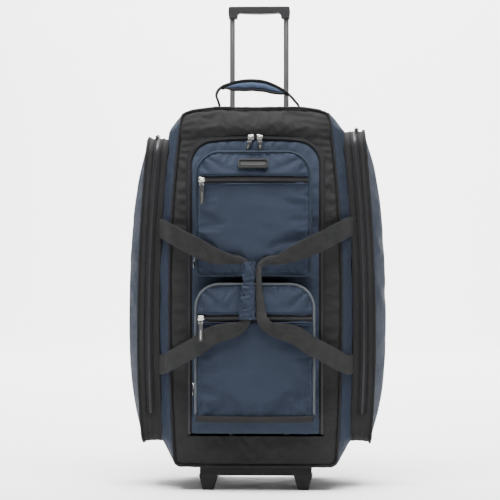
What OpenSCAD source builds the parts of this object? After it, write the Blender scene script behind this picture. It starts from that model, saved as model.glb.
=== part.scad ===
// Upright rolling duffel bag with a pull handle, two wheels and six pockets.
// The bag stands on the floor at Z 0, faces -Y, and is centred on the origin.

/* [Body] */
// Height of the top seam's corners above the floor
corner_z = 757; // [750:1:765]
// Height of the crown in the middle of the top
crown_z = 767; // [765:1:772]
// Height of the fabric's underside above the floor
base_z = 50; // [48:1:52]
// Width of the front panel at its widest
front_w = 344; // [336:2:348]
// Width of the front panel at the top corners
top_w = 292; // [288:2:296]
// Width of the body at its widest, without the side pockets
side_w = 394; // [390:2:398]
// Y of the front panel's outer face
front_y = -112; // [-114:1:-110]
// Y of the back panel's outer face
back_y = 150; // [148:1:152]
// Thickness of the padded fabric walls
wall = 3; // [2.5:0.5:3.5]

/* [Front flap] */
// Width of the blue flap
flap_w = 258; // [254:2:260]
// Height of the flap's lower seam
flap_z0 = 114; // [112:1:118]
// Height of the flap's top in the middle
flap_z1 = 703; // [700:1:706]
// Width of the zip tape round the flap
zip_w = 9; // [8:1:10]

/* [Front pockets] */
// Depth of both front pockets at their piping
pocket_d = 38; // [36:1:40]
// Width of the upper pocket
upper_w = 225; // [220:1:228]
// Lower and upper edge of the upper pocket
upper_z = [432, 676];
// Width of the lower pocket
lower_w = 234; // [230:1:236]
// Lower and upper edge of the lower pocket
lower_z = [140, 414];
// Height of the centre line of the upper pocket's front zip
upper_zip_z = 621; // [615:1:625]
// Height of the centre line of the lower pocket's front zip
lower_zip_z = 347; // [344:1:350]

/* [Side pockets] */
// Lower and upper edge of the side pockets
side_z = [98, 724];
// How much lower the left side pocket's top sits
left_sag = 14; // [0:1:16]
// Front and back edge of the side pockets
side_y = [-70, 108];
// How far the piping stands from the middle at the widest place
edge_half = 239; // [236:1:242]
// How far the outer face bulges past its piping
side_bulge = 24; // [20:1:25]

/* [Pull handle] */
// Distance between the two tubes
tube_pitch = 114; // [110:1:118]
// Y of the tubes
tube_y = 126; // [124:1:126]
// Outer diameter of the sliding tubes
tube_d = 11; // [10.6:0.1:11]
// Height of the grip's top with the handle pulled out
grip_top = 997; // [990:1:1000]
// How far the handle slides
travel = 196; // [190:1:196]

/* [Wheels and base] */
// Diameter of the wheels
wheel_d = 64; // [62:1:64]
// Width of the wheels
wheel_w = 22; // [20:1:23]
// Distance of each wheel and foot from the middle
wheel_x = 95; // [92:1:98]
// Y of the wheel axles
wheel_y = 146; // [144:1:146]
// Height of the base tray's underside above the floor
tray_z = 30; // [28:1:32]

/* [Straps] */
// Width of the carry straps' webbing
strap_w = 40; // [38:1:41]
// Thickness of the webbing
web_t = 2; // [1.6:0.1:2]

/* [Hidden] */

BLUE = [0.24, 0.31, 0.43];
BLACK = [0.13, 0.13, 0.13];
METAL = [0.75, 0.75, 0.75];
gap = 0.3;               // air between neighbouring pieces
far = 1200;              // longer than anything in the model

// ---- curves and lofts ----

function lerp(a, b, t) = a + (b - a) * t;

// A width that is largest at one height and falls off as a parabola to both ends
function belly(z, z_mid, w_mid, z_top, w_top, z_bot, w_bot) =
    z > z_mid ? w_mid - (w_mid - w_top) * pow((z - z_mid) / (z_top - z_mid), 2)
              : w_mid - (w_mid - w_bot) * pow((z_mid - z) / (z_mid - z_bot), 2);

// A right half followed by its mirror image, so that point i and point n-1-i are a pair
function both_halves(h) = concat(h, [for (i = [len(h) - 1:-1:0]) [-h[i][0], h[i][1]]]);

// The right half of a rounded upright rectangle, from its lower edge to its upper edge
function half_outline(w, z0, z1, r_low, r_high, steps) = concat(
    [for (a = [-90:30:0]) [w - r_low + r_low * cos(a), z0 + r_low + r_low * sin(a)]],
    [for (i = [1:steps - 1]) [w, lerp(z0 + r_low, z1 - r_high, i / steps)]],
    [for (a = [0:22.5:90]) [w - r_high + r_high * cos(a), z1 - r_high + r_high * sin(a)]]);

function inset_outline(w, z, r_low, r_high, steps, t) = both_halves(
    half_outline(w - t, z[0] + t, z[1] - t, max(r_low - t, 2), max(r_high - t, 2), steps));

// A closed solid through rings of paired points, from the first ring to the last
module loft(rings) {
    n = len(rings[0]);
    last = (len(rings) - 1) * n;
    sides = [for (i = [0:len(rings) - 2], j = [0:n - 1])
        let (a = i * n + j, b = i * n + (j + 1) % n)
        each [[a, b, b + n], [a, b + n, a + n]]];
    first_cap = [for (j = [0:n / 2 - 2]) [j + 1, j, n - 1 - j, n - 2 - j]];
    last_cap = [for (f = first_cap) [last + f[3], last + f[2], last + f[1], last + f[0]]];
    polyhedron([for (r = rings) each r], concat(sides, first_cap, last_cap), convexity = 8);
}

// A closed tube that follows a path, with one ring of points for each place
module sweep(rings) {
    n = len(rings[0]);
    last = (len(rings) - 1) * n;
    sides = [for (i = [0:len(rings) - 2], j = [0:n - 1])
        let (a = i * n + j, b = i * n + (j + 1) % n)
        each [[a, b, b + n], [a, b + n, a + n]]];
    polyhedron([for (r = rings) each r], concat(sides, [[for (j = [n - 1:-1:0]) j]],
        [[for (j = [0:n - 1]) last + j]]), convexity = 8);
}

module slab(x, y, z) {
    translate([x[0], y[0], z[0]]) cube([x[1] - x[0], y[1] - y[0], z[1] - z[0]]);
}

module right_or_left(side) {
    if (side > 0) children(); else mirror([1, 0, 0]) children();
}

// ---- body ----

belly_z = 400;           // where the front panel is widest
side_belly_z = 340;      // where the body is widest
shoulder_z = 724;        // where the sides turn in to the top corners
shoulder_half = 175;
hip_z = 100;             // where the sides turn in to the bottom
hip_half = 190;
foot_half = 164;         // half width of the underside

function seam_half(z) = belly(z, belly_z, front_w / 2, corner_z, top_w / 2, base_z, foot_half - 2);
function side_half(z) =
    z > shoulder_z ? lerp(shoulder_half, top_w / 2 + 4, (z - shoulder_z) / (corner_z - shoulder_z))
    : z < hip_z ? lerp(foot_half, hip_half, (z - base_z) / (hip_z - base_z))
    : belly(z, side_belly_z, side_w / 2, shoulder_z, shoulder_half, hip_z, hip_half);
function body_levels(t) = concat([base_z + t, 72],
    [for (i = [0:9]) lerp(hip_z, shoulder_z, i / 9)], [corner_z - t]);

// share 0 is the outline of the front and back seams, and 1 that of the body's middle
function body_ring(y, share, t) = let (
    half = [for (z = body_levels(t)) [lerp(seam_half(z), side_half(z), share) - t, z]],
    corner = half[len(half) - 1][0],
    top = [for (f = [0.7, 0.35]) [f * corner, crown_z - t - (crown_z - corner_z) * pow(f, 3)]])
    [for (p = both_halves(concat(half, top))) [p[0], y, p[1]]];

module body_solid(t) {
    loft([body_ring(front_y + t, 0, t), body_ring(-92, 0.5, t), body_ring(-62, 1, t),
        body_ring(100, 1, t), body_ring(130, 0.6, t), body_ring(back_y - t, 0, t)]);
}

module body_shell() {
    difference() {
        body_solid(0);
        body_solid(wall);
    }
}

function flap_outline(g) = let (w = flap_w / 2 + g, r = 40 + g, arch = 10) both_halves(concat(
    [[w, flap_z0]],
    [for (a = [0:15:90]) let (x = w - r + r * cos(a))
        [x, flap_z1 + g - r + r * sin(a) - arch * pow(x / w, 2)]],
    [[w * 0.35, flap_z1 + g - arch * pow(0.35, 2)]]));

// A flat sheet in the front panel's plane with the given outline, longer by extra at both sides
module front_sheet(outline, extra = 0) {
    translate([0, front_y + wall + extra, 0]) rotate([90, 0, 0])
        linear_extrude(wall + 2 * extra) polygon(outline);
}

module front_panel() {
    color(BLACK) difference() {
        intersection() {
            body_solid(0);
            slab([-far, far], [front_y, front_y + wall], [0, far]);
        }
        front_sheet(flap_outline(zip_w + gap), 1);
    }
}

module back_panel() {
    color(BLACK) difference() {
        intersection() {
            body_solid(0);
            slab([-far, far], [back_y - wall, back_y], [0, far]);
        }
        wheel_wells(gap);
    }
}

// The part of the body's shell between the front and back panels
module shell_part(x, z) {
    intersection() {
        body_shell();
        slab(x, [front_y + wall + gap, back_y - wall - gap], z);
    }
}

top_seam_z = corner_z - wall - 0.5;      // where the side gussets meet the top panel
low_seam_z = base_z + wall + 0.5;        // where they meet the underside

module top_panel() {
    color(BLACK) difference() {
        shell_part([-far, far], [top_seam_z, far]);
        bezel_body(gap);
    }
}

module bottom_panel() {
    color(BLACK) difference() {
        shell_part([-far, far], [0, low_seam_z]);
        wheel_wells(gap);
        screw_places() cylinder(r = screw_r + gap, h = 100, $fn = 24);
        housing_screw_places() cylinder(r = screw_r + gap, h = 100, $fn = 24);
    }
}

module gusset(side) {
    color(BLUE) right_or_left(side) shell_part([10, far], [low_seam_z, top_seam_z]);
}

// ---- flap and front pockets ----

module flap_panel() {
    color(BLUE) front_sheet(flap_outline(0));
}

module flap_zip() {
    color(BLACK) difference() {
        front_sheet(flap_outline(zip_w));
        front_sheet(flap_outline(gap), 1);
    }
}

pocket_low_r = 10;       // radius of a front pocket's lower corners
pocket_high_r = 47;      // radius of its upper corners
face_y = front_y - pocket_d - 8;
upper_x = -3;            // the upper pocket sits a little left of the middle

function pocket_ring(x, w, z, y, t) =
    [for (p = inset_outline(w / 2, z, pocket_low_r, pocket_high_r, 4, t)) [x + p[0], y, p[1]]];

// t 0 is the outside; the inside is t smaller all round and t further back at the front
module pocket_solid(x, w, z, t) {
    loft([pocket_ring(x, w, z, face_y + t, 14 + t), pocket_ring(x, w, z, face_y + 2 + t, 6 + t),
        pocket_ring(x, w, z, face_y + 8 + t * 0.6, t), pocket_ring(x, w, z, front_y - gap + t, t)]);
}

module pocket_shell(x, w, z) {
    difference() {
        pocket_solid(x, w, z, 0);
        pocket_solid(x, w, z, wall);
    }
}

module pocket_gusset(x, w, z) {
    color(BLUE) intersection() {
        pocket_shell(x, w, z);
        slab([-far, far], [face_y + 8, front_y], [0, far]);
    }
}

module pocket_face(x, w, z) {
    color(BLUE) intersection() {
        pocket_shell(x, w, z);
        slab([-far, far], [face_y - 1, face_y + 8], [0, far]);
    }
}

pocket_zip_t = 1.5;      // thickness of a front zip's tape
pocket_zip_h = 13;       // its height

module pocket_zip(x, w, z) {
    color(BLACK) slab([x - w / 2 + 4, x + w / 2 - 4], [face_y - gap - pocket_zip_t, face_y - gap],
        [z - pocket_zip_h / 2, z + pocket_zip_h / 2]);
}

module label_patch() {
    color(BLACK) slab([-33, 27], [face_y - 2.2, face_y - gap], [644, 662]);
}

// ---- side pockets ----

side_mid_y = (side_y[0] + side_y[1]) / 2;
side_half_d = (side_y[1] - side_y[0]) / 2;

function edge_x(z) = belly(z, 300, edge_half, side_z[1], 217, side_z[0], 230);
function bulge(span, z) = side_bulge *
    (1 - pow(abs(2 * z - span[0] - span[1]) / (span[1] - span[0]), 3.5));

function side_span(side) = side > 0 ? side_z : [side_z[0], side_z[1] - left_sag];
function side_outline(side, t) = inset_outline(side_half_d, side_span(side), 30, 34, 8, t);

// A flat ring against the body, and one that follows the outer face: share says how far
// between the piping and the full bulge it stands, and dx how far it is moved outwards
function flat_ring(side, t, x) = [for (p = side_outline(side, t)) [x, side_mid_y - p[0], p[1]]];
function side_ring(side, t, share, dx) = [for (p = side_outline(side, t))
    [edge_x(p[1]) + share * bulge(side_span(side), p[1]) + dx, side_mid_y - p[0], p[1]]];

module side_pocket_gusset(side) {
    color(BLACK) right_or_left(side) difference() {
        loft([flat_ring(side, 0, 150), side_ring(side, 0, 0, -gap)]);
        loft([flat_ring(side, wall, 149), side_ring(side, wall, 0, 1)]);
        body_solid(-gap);
    }
}

module side_pocket_face(side) {
    middle = side_half_d - 3;
    color(BLUE) right_or_left(side) difference() {
        loft([side_ring(side, 0, 0, 0), side_ring(side, 10, 0.5, 0), side_ring(side, 32, 0.9, 0),
            side_ring(side, middle, 1, 0)]);
        loft([side_ring(side, wall, 0, -2), side_ring(side, 11 + wall, 0.5, -wall),
            side_ring(side, 32 + wall, 0.9, -wall), side_ring(side, middle - 0.5, 1, -wall)]);
    }
}

// ---- straps and top handle ----

// The left carry strap, from its upper sewn end round the middle to its lower one:
// X, Y, Z and the half width there
strap_path = [[-195, -75, 524, 20], [-189, -92, 524, 20], [-178, -116, 518, 20],
    [-146, -142, 502, 20], [-113, -168, 488, 20], [-77, -172, 471, 17], [-48, -174, 468, 12],
    [-27, -174, 467, 9.5], [-14, -174, 460, 9], [-13, -174, 446, 9], [-13, -174, 358, 9],
    [-14, -174, 344, 9], [-27, -174, 335, 9.5], [-48, -174, 333, 12], [-77, -172, 315, 17],
    [-113, -168, 292, 20], [-146, -142, 274, 20], [-178, -116, 258, 20], [-189, -92, 252, 20],
    [-195, -75, 252, 20]];

function unit(v) = v / norm(v);

// The webbing's outward normal: level, square to the path, and always towards the front
function web_normal(t) = abs(t[0]) + abs(t[1]) < 0.2 ? [0, -1, 0]
    : let (m = unit([t[1], -t[0], 0])) m[1] > 0 ? -m : m;

function web_ring(path, i, thick) = let (
    a = path[max(i - 1, 0)],
    b = path[min(i + 1, len(path) - 1)],
    t = unit([b[0] - a[0], b[1] - a[1], b[2] - a[2]]),
    m = web_normal(t),
    w = unit(cross(t, m)) * path[i][3],
    c = [path[i][0], path[i][1], path[i][2]])
    [c + w - m * thick / 2, c - w - m * thick / 2, c - w + m * thick / 2, c + w + m * thick / 2];

module carry_strap(side) {
    color(BLACK) right_or_left(-side) sweep([for (i = [0:len(strap_path) - 1])
        web_ring(strap_path, i, web_t)]);
}

wrap_y = [-178, -170.2];
// Left and right edge of the wrap at each height; it closes round the left strap
wrap_edges = [[-30, 2.6, 345], [-27, 2, 385], [-25, 1, 425], [-27, 2, 459]];

module wrap_block(g, y) {
    translate([0, y[1], 0]) rotate([90, 0, 0]) linear_extrude(y[1] - y[0]) polygon(concat(
        [for (e = wrap_edges) [e[0] + g, e[2] + (e[2] > 400 ? g : -g)]],
        [for (i = [3:-1:0]) let (e = wrap_edges[i]) [e[1] - g, e[2] + (e[2] > 400 ? g : -g)]]));
}

module strap_wrap() {
    color(BLUE) difference() {
        wrap_block(0, wrap_y);
        wrap_block(1.2, [wrap_y[0] + 2.4, wrap_y[1] - 1.8]);
    }
}

top_handle_y = -45;      // middle of the handle's webbing
top_handle_w = 26;       // width of that webbing

// Top face of the handle's webbing, from the left end to the right end: X, Z and half width
handle_path = [[-77, 769, 4], [-76, 776, 9], [-80, 787, 13], [-83, 797, 13], [-79, 806, 13],
    [-70, 814, 13], [-58, 819, 13], [-35, 825, 13], [-9, 827, 13], [17, 824, 13], [40, 815, 13],
    [56, 806, 13], [68, 796, 13], [79, 785, 12], [86, 776, 9], [88, 769, 4]];

module top_handle_webbing() {
    rings = [for (i = [0:len(handle_path) - 1]) let (
        a = handle_path[max(i - 1, 0)],
        b = handle_path[min(i + 1, len(handle_path) - 1)],
        c = handle_path[i],
        t = unit([b[0] - a[0], b[1] - a[1]]),
        down = [t[1], -t[0]] * web_t)
        [[c[0], top_handle_y - c[2], c[1]], [c[0], top_handle_y + c[2], c[1]],
            [c[0] + down[0], top_handle_y + c[2], c[1] + down[1]],
            [c[0] + down[0], top_handle_y - c[2], c[1] + down[1]]]];
    color(BLACK) sweep(rings);
}

grip_x = [-66, 58];      // ends of the padded part of the top handle

// Upper side of the pad, just under the webbing, and the pad's thickness
function pad_top(x) = lookup(x, [for (p = handle_path) if (p[1] > 795) [p[0], p[1]]]) - web_t * 1.4 - gap;
function pad_depth(x) = 18 * (1 - pow(abs(2 * x - grip_x[0] - grip_x[1])
    / (grip_x[1] - grip_x[0]), 3) * 0.75);

module top_handle_grip() {
    rings = [for (i = [0:12]) let (
        x = lerp(grip_x[0], grip_x[1], i / 12),
        d = pad_depth(x),
        mid = pad_top(x) - d / 2)
        [for (a = [0:30:330]) [x, top_handle_y + 13.5 * cos(a), mid + d / 2 * sin(a)]]];
    color(BLUE) sweep([for (i = [12:-1:0]) rings[i]]);
}

// ---- inner boards ----

board_t = 2.5;

module back_board() {
    color([0.2, 0.2, 0.2]) slab([-150, 150], [back_y - wall - gap - board_t, back_y - wall - gap],
        [90, 700]);
}

module base_board() {
    z = base_z + wall + gap;
    color([0.2, 0.2, 0.2]) difference() {
        slab([-140, 140], [-98, 104], [z, z + board_t]);
        screw_places() cylinder(r = screw_r + gap, h = 100, $fn = 24);
        housing_screw_places() cylinder(r = screw_r + gap, h = 100, $fn = 24);
    }
}

// ---- pull handle ----

outer_tube_r = 7;
outer_bore_r = 5.9;
bezel_half = [84, 17];   // half width and half depth of the bezel's collar
bezel_top = 773;

module at_tubes() {
    for (side = [-1, 1]) translate([side * tube_pitch / 2, tube_y, 0]) children();
}

// The bezel's outer shape, grown by g: a flange on the fabric and a collar through it
module bezel_body(g) {
    slab([-bezel_half[0] - g, bezel_half[0] + g], [tube_y - bezel_half[1] - g, tube_y + bezel_half[1] + g],
        [crown_z - 26 - g, bezel_top + g]);
}

module handle_bezel() {
    color(BLACK) difference() {
        bezel_body(0);
        at_tubes() cylinder(r = tube_d / 2 + 0.08, h = far, $fn = 48);
        at_tubes() cylinder(r = outer_tube_r + 0.1, h = bezel_top - 8, $fn = 48);
        slab([-tube_pitch / 2 + 14, tube_pitch / 2 - 14], [tube_y - 13, tube_y + 13],
            [crown_z - 30, bezel_top - 3]);
    }
}

foot_z = base_z + wall + gap;

module outer_tube(side) {
    color(METAL) translate([side * tube_pitch / 2, tube_y, foot_z + 8]) difference() {
        cylinder(r = outer_tube_r, h = bezel_top - 8.3 - foot_z - 8, $fn = 48);
        translate([0, 0, -1]) cylinder(r = outer_bore_r, h = far, $fn = 48);
    }
}

module tube_foot() {
    color(BLACK) difference() {
        slab([-tube_pitch / 2 - 12, tube_pitch / 2 + 12], [tube_y - 12, tube_y + 12],
            [foot_z, foot_z + 34]);
        at_tubes() translate([0, 0, foot_z + 8]) cylinder(r = outer_tube_r + 0.1, h = 100, $fn = 48);
        slab([-tube_pitch / 2 + 14, tube_pitch / 2 - 14], [tube_y - 9, tube_y + 9],
            [foot_z + 3, foot_z + 40]);
        wheel_wells(gap);
    }
}

inner_z0 = 640;          // lower end of the sliding tubes with the handle pulled out
socket_top = grip_top - 16;
bore_r = tube_d / 2 - 1;

module inner_tube(side) {
    color(METAL) translate([side * tube_pitch / 2, tube_y, inner_z0]) difference() {
        cylinder(r = tube_d / 2, h = socket_top - inner_z0, $fn = 48);
        translate([0, 0, -1]) cylinder(r = bore_r, h = far, $fn = 48);
    }
}

// Plastic plugs that guide the tubes' lower ends and hold the lock
module tube_end_guides() {
    color([0.85, 0.85, 0.82]) at_tubes() difference() {
        union() {
            translate([0, 0, inner_z0 - 22]) cylinder(r = outer_bore_r - 0.08, h = 22 - gap, $fn = 48);
            translate([0, 0, inner_z0 - gap - 1]) cylinder(r = bore_r - 0.1, h = 16, $fn = 48);
        }
        translate([0, 0, inner_z0 - 14]) cylinder(r = rod_r + 0.3, h = 60, $fn = 24);
    }
}

grip_half = 65.5;        // half length of the grip
grip_d = 24;             // its depth, front to back
leg_w = 20;              // width of the two ends that hold the tubes
leg_h = 26;              // their height
bar_h = 14;              // height of the cross bar at its ends
rod_r = 1.6;
button_y = tube_y;

// Front outline of the grip: a cross bar that is a little thicker in the middle
function grip_outline() = let (inner = grip_half - leg_w) concat(
    [[-grip_half + 1.5, grip_top - leg_h], [-inner - 1, grip_top - leg_h],
        [-inner, grip_top - bar_h - 3], [-inner + 4, grip_top - bar_h]],
    [for (i = [1:7]) let (x = lerp(-inner + 4, inner - 4, i / 8))
        [x, grip_top - bar_h - 2 * cos(90 * x / (inner - 4))]],
    [[inner - 4, grip_top - bar_h], [inner, grip_top - bar_h - 3],
        [inner + 1, grip_top - leg_h], [grip_half - 1.5, grip_top - leg_h],
        [grip_half, grip_top - 10], [grip_half - 1, grip_top - 1.5], [grip_half - 3, grip_top]],
    [[-grip_half + 3, grip_top], [-grip_half + 1, grip_top - 1.5], [-grip_half, grip_top - 10]]);

button_w = 30;
button_d = 12;
button_press = 4;
bar_z = grip_top - 11;   // underside of the button's inner cross bar

module pull_grip() {
    color(BLACK) difference() {
        translate([0, tube_y + grip_d / 2, 0]) rotate([90, 0, 0]) linear_extrude(grip_d)
            polygon(grip_outline());
        at_tubes() cylinder(r = tube_d / 2 + 0.05, h = socket_top + gap, $fn = 48);
        at_tubes() cylinder(r = bore_r, h = bar_z + 6, $fn = 48);
        slab([-tube_pitch / 2 - 3, tube_pitch / 2 + 3], [tube_y - 4.5, tube_y + 4.5],
            [bar_z - button_press - 0.5, bar_z + 6]);
        slab([-button_w / 2 - gap, button_w / 2 + gap],
            [tube_y - button_d / 2 - gap, tube_y + button_d / 2 + gap],
            [bar_z - button_press - 0.5, far]);
    }
}

module release_button() {
    color([0.3, 0.3, 0.3]) {
        slab([-button_w / 2, button_w / 2], [tube_y - button_d / 2, tube_y + button_d / 2],
            [bar_z + 5, grip_top - 0.3]);
        slab([-tube_pitch / 2 - 2.5, tube_pitch / 2 + 2.5], [tube_y - 4, tube_y + 4],
            [bar_z + 1, bar_z + 5]);
    }
}

module button_spring() {
    color(METAL) translate([0, tube_y, bar_z - button_press - 0.3]) difference() {
        cylinder(r = 3.6, h = button_press + 1.1, $fn = 32);
        translate([0, 0, -1]) cylinder(r = 2.8, h = 20, $fn = 32);
    }
}

module release_rods() {
    color(METAL) at_tubes() translate([0, 0, inner_z0 - 6])
        cylinder(r = rod_r, h = bar_z + 1 - inner_z0 + 6, $fn = 24);
}

// ---- base and wheels ----

axle_r = 4;
bearing_r = 11;
bearing_w = 7;
well_r = wheel_d / 2 + 3;
housing_wall = 3.5;
housing_half = wheel_w / 2 + 2 + housing_wall;
screw_r = 2.5;
tray_half = 112;
tray_y = [-104, 76];
flange_y = 94;           // Y of the wheel housings' screws
tray_top = base_z - gap;

// Space for both wheel housings, grown by g
module wheel_wells(g) {
    for (side = [-1, 1]) translate([side * wheel_x, 0, 0]) {
        translate([-housing_half - g, wheel_y, wheel_d / 2]) rotate([0, 90, 0])
            cylinder(r = well_r + housing_wall + g, h = 2 * housing_half + 2 * g, $fn = 64);
    }
}

// Places of the tray's four screws, and of the two in each wheel housing's flange
module screw_places() {
    for (x = [-1, 1], y = [-52, 48]) translate([x * 36, y, 0]) children();
}

module housing_screw_places() {
    for (side = [-1, 1], x = [-1, 1]) translate([side * wheel_x + x * 22, flange_y, 0]) children();
}

module foot(side) {
    translate([side * wheel_x, 0, 0]) hull() {
        translate([-20, -104, tray_z + 4]) cube([40, 52, 4]);
        translate([-10 + side * 0.5, -97, 0]) cube([20, 32, 1]);
    }
}

module base_tray() {
    color(BLACK) {
        difference() {
            slab([-tray_half, tray_half], tray_y, [tray_z, tray_top]);
            for (i = [-1:1], j = [0:1]) translate([i * 73 - 34, lerp(-100, -12, j), tray_z + 3])
                cube([68, 84, 50]);
            screw_places() cylinder(r = screw_r + gap, h = 100, $fn = 24);
            wheel_wells(gap);
        }
        difference() {
            screw_places() translate([0, 0, tray_z + 2])
                cylinder(r = 6, h = tray_top - tray_z - 2, $fn = 32);
            screw_places() cylinder(r = screw_r + gap, h = 100, $fn = 24);
            wheel_wells(gap);
        }
        for (side = [-1, 1]) intersection() {
            foot(side);
            slab([-far, far], [-far, far], [-1, tray_z + 1]);
        }
    }
}

// A hood over the wheel's front and top, two cheeks that carry the axle, and a screw flange
module wheel_housing(side) {
    inside = housing_half - housing_wall;
    color(BLACK) difference() {
        translate([side * wheel_x, 0, 0]) {
            difference() {
                union() {
                    translate([-housing_half, wheel_y, wheel_d / 2]) rotate([0, 90, 0])
                        cylinder(r = well_r + housing_wall, h = 2 * housing_half, $fn = 64);
                    slab([-32, 32], [80, 125], [tray_top - 3, tray_top]);
                }
                translate([-inside, wheel_y, wheel_d / 2]) rotate([0, 90, 0])
                    cylinder(r = well_r, h = 2 * inside, $fn = 64);
                slab([-40, 40], [60, 220], [-20, 18]);
                slab([-40, 40], [wheel_y + 14, 220], [-20, wheel_d / 2 + 22]);
                slab([-inside, inside], [60, 220], [-20, wheel_d / 2]);
            }
        }
        at_wheel(side) translate([0, 0, -50]) cylinder(r = axle_r + 0.05, h = 100, $fn = 48);
        housing_screw_places() cylinder(r = screw_r + gap, h = 100, $fn = 24);
    }
}

module at_wheel(side) {
    translate([side * wheel_x, wheel_y, wheel_d / 2]) rotate([0, 90, 0]) children();
}

module tyre(side) {
    w = wheel_w / 2;
    r = wheel_d / 2;
    color([0.1, 0.1, 0.1]) at_wheel(side) rotate_extrude($fn = 96)
        polygon(concat([[r - 9, -w + 1], [r - 4, -w]],
            [for (a = [-60:20:60]) [r - 7 + 7 * cos(a), (w - 1.5) * sin(a) / sin(60)]],
            [[r - 4, w], [r - 9, w - 1]]));
}

module hub(side) {
    w = wheel_w / 2 - 1;
    color([0.35, 0.35, 0.36]) at_wheel(side) difference() {
        translate([0, 0, -w]) cylinder(r = wheel_d / 2 - 9 - 0.02, h = 2 * w, $fn = 96);
        translate([0, 0, -w - 1]) cylinder(r = axle_r + 3, h = 2 * w + 2, $fn = 48);
        for (s = [-1, 1]) translate([0, 0, s * (w - bearing_w / 2) - bearing_w / 2 - (s < 0 ? 1 : 0)])
            cylinder(r = bearing_r + 0.02, h = bearing_w + 1, $fn = 64);
        for (s = [-1, 1]) translate([0, 0, s * w]) rotate_extrude($fn = 64)
            polygon([[14, -3], [19, -3], [20.5, 3], [12.5, 3]]);
    }
}

module bearings(side) {
    w = wheel_w / 2 - 1;
    color(METAL) at_wheel(side) for (s = [-1, 1])
        translate([0, 0, s * (w - bearing_w / 2) - bearing_w / 2]) difference() {
            cylinder(r = bearing_r, h = bearing_w, $fn = 64);
            translate([0, 0, -1]) cylinder(r = axle_r + 0.05, h = bearing_w + 2, $fn = 48);
        }
}

module wheel_axles() {
    color(METAL) for (side = [-1, 1]) at_wheel(side) {
        translate([0, 0, -housing_half]) cylinder(r = axle_r, h = 2 * housing_half, $fn = 48);
        for (s = [-1, 1]) translate([0, 0, s > 0 ? housing_half : -housing_half - 2])
            cylinder(r = axle_r + 2.5, h = 2, $fn = 48);
    }
}

module screw(head_z, length) {
    translate([0, 0, head_z - 2]) cylinder(r = screw_r + 2, h = 2, $fn = 32);
    translate([0, 0, head_z - 2]) cylinder(r = screw_r, h = length, $fn = 32);
}

module base_screws() {
    color(METAL) {
        screw_places() screw(tray_z - gap, 30);
        housing_screw_places() screw(tray_top - 3 - gap, 14);
    }
}

// ---- zip sliders ----

slider_l = 11;           // length of a slider along its zip
slider_w = 8;            // width across it
slider_t = 3.2;          // thickness, away from the fabric
side_pull_l = 26;        // length of the side sliders' fixed pulls
pull_t = 1.6;
pull_w = 7.5;            // width of a pull below its loop
bar_out = 2.1;           // how far a slider's bar stands off its body

// A slider flat on a surface at y = 0 that faces -Y, with its length along X when turned is true
module slider_body(turned) {
    l = turned ? slider_l : slider_w;
    h = turned ? slider_w : slider_l;
    translate([-l / 2, -slider_t, -h / 2]) cube([l, slider_t, h]);
    for (s = [-1, 1]) translate([s * 3.2 - 0.6, -slider_t - bar_out - 1, -2]) cube([1.2, bar_out + 1.1, 4]);
    translate([-3, -slider_t - bar_out, 0]) rotate([0, 90, 0]) cylinder(r = 0.8, h = 6, $fn = 16);
}

// A pull that hangs from the slider's bar, with its length below that bar
module pull(l) {
    translate([0, -slider_t - bar_out, 0]) difference() {
        union() {
            translate([-2.2, 0, 0]) rotate([0, 90, 0]) cylinder(r = 1.7, h = 4.4, $fn = 24);
            translate([-2.2, -0.8, -l]) cube([4.4, pull_t, l]);
            translate([-pull_w / 2, -0.8, -l]) cube([pull_w, pull_t, l - 7]);
        }
        translate([-5, 0, 0]) rotate([0, 90, 0]) cylinder(r = 0.9, h = 10, $fn = 24);
    }
}

flap_slider_x = 9;
flap_slider_z = flap_z1 + zip_w / 2;
flap_face = front_y - gap;
zip_face = face_y - gap - pocket_zip_t - gap;

module flap_slider_at(side) {
    translate([side * flap_slider_x, flap_face, flap_slider_z]) children();
}

// Where a front pocket's slider rests, at the left end of its zip
module front_slider_at(x, w, z) {
    translate([x - w / 2 + 11, zip_face, z]) children();
}

// Slider and pull in one, on a left-hand pocket wall, facing -X
module side_slider(x, y, z) {
    color(METAL) translate([x, y, z]) rotate([0, 0, -90]) {
        slider_body(false);
        pull_tab();
    }
}

// The fixed pull of a side slider, just clear of the slider's bar
module pull_tab() {
    translate([-2, -slider_t - 5.3, -side_pull_l]) cube([4, pull_t, side_pull_l + 3]);
    translate([-2, -slider_t - 3.9, 1]) cube([4, 4, 2]);
}

// Slider and pull in one, on the top of a side pocket, with the pull lying flat
module top_slider(side) {
    right_or_left(side) color(METAL) translate([203, -22, side_span(side)[1] + gap]) {
        translate([-slider_w / 2, -slider_l / 2, 0]) cube([slider_w, slider_l, slider_t]);
        translate([-2, -30, slider_t - 0.1]) cube([4, 34, pull_t]);
    }
}

front_panel();
back_panel();
top_panel();
bottom_panel();
gusset(-1);  // left_gusset
gusset(1);  // right_gusset
flap_panel();
flap_zip();
pocket_gusset(upper_x, upper_w, upper_z);  // upper_pocket_gusset
pocket_face(upper_x, upper_w, upper_z);  // upper_pocket_face
pocket_zip(upper_x, upper_w, upper_zip_z);  // upper_pocket_zip
pocket_gusset(0, lower_w, lower_z);  // lower_pocket_gusset
pocket_face(0, lower_w, lower_z);  // lower_pocket_face
pocket_zip(0, lower_w, lower_zip_z);  // lower_pocket_zip
side_pocket_gusset(-1);  // left_side_pocket_gusset
side_pocket_face(-1);  // left_side_pocket_face
side_pocket_gusset(1);  // right_side_pocket_gusset
side_pocket_face(1);  // right_side_pocket_face
label_patch();
top_handle_webbing();
top_handle_grip();
carry_strap(-1);  // left_carry_strap
carry_strap(1);  // right_carry_strap
strap_wrap();
back_board();
base_board();
handle_bezel();
outer_tube(-1);  // left_outer_tube
outer_tube(1);  // right_outer_tube
tube_foot();
inner_tube(-1);  // left_inner_tube
inner_tube(1);  // right_inner_tube
tube_end_guides();
pull_grip();
release_button();
button_spring();
release_rods();
base_tray();
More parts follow.
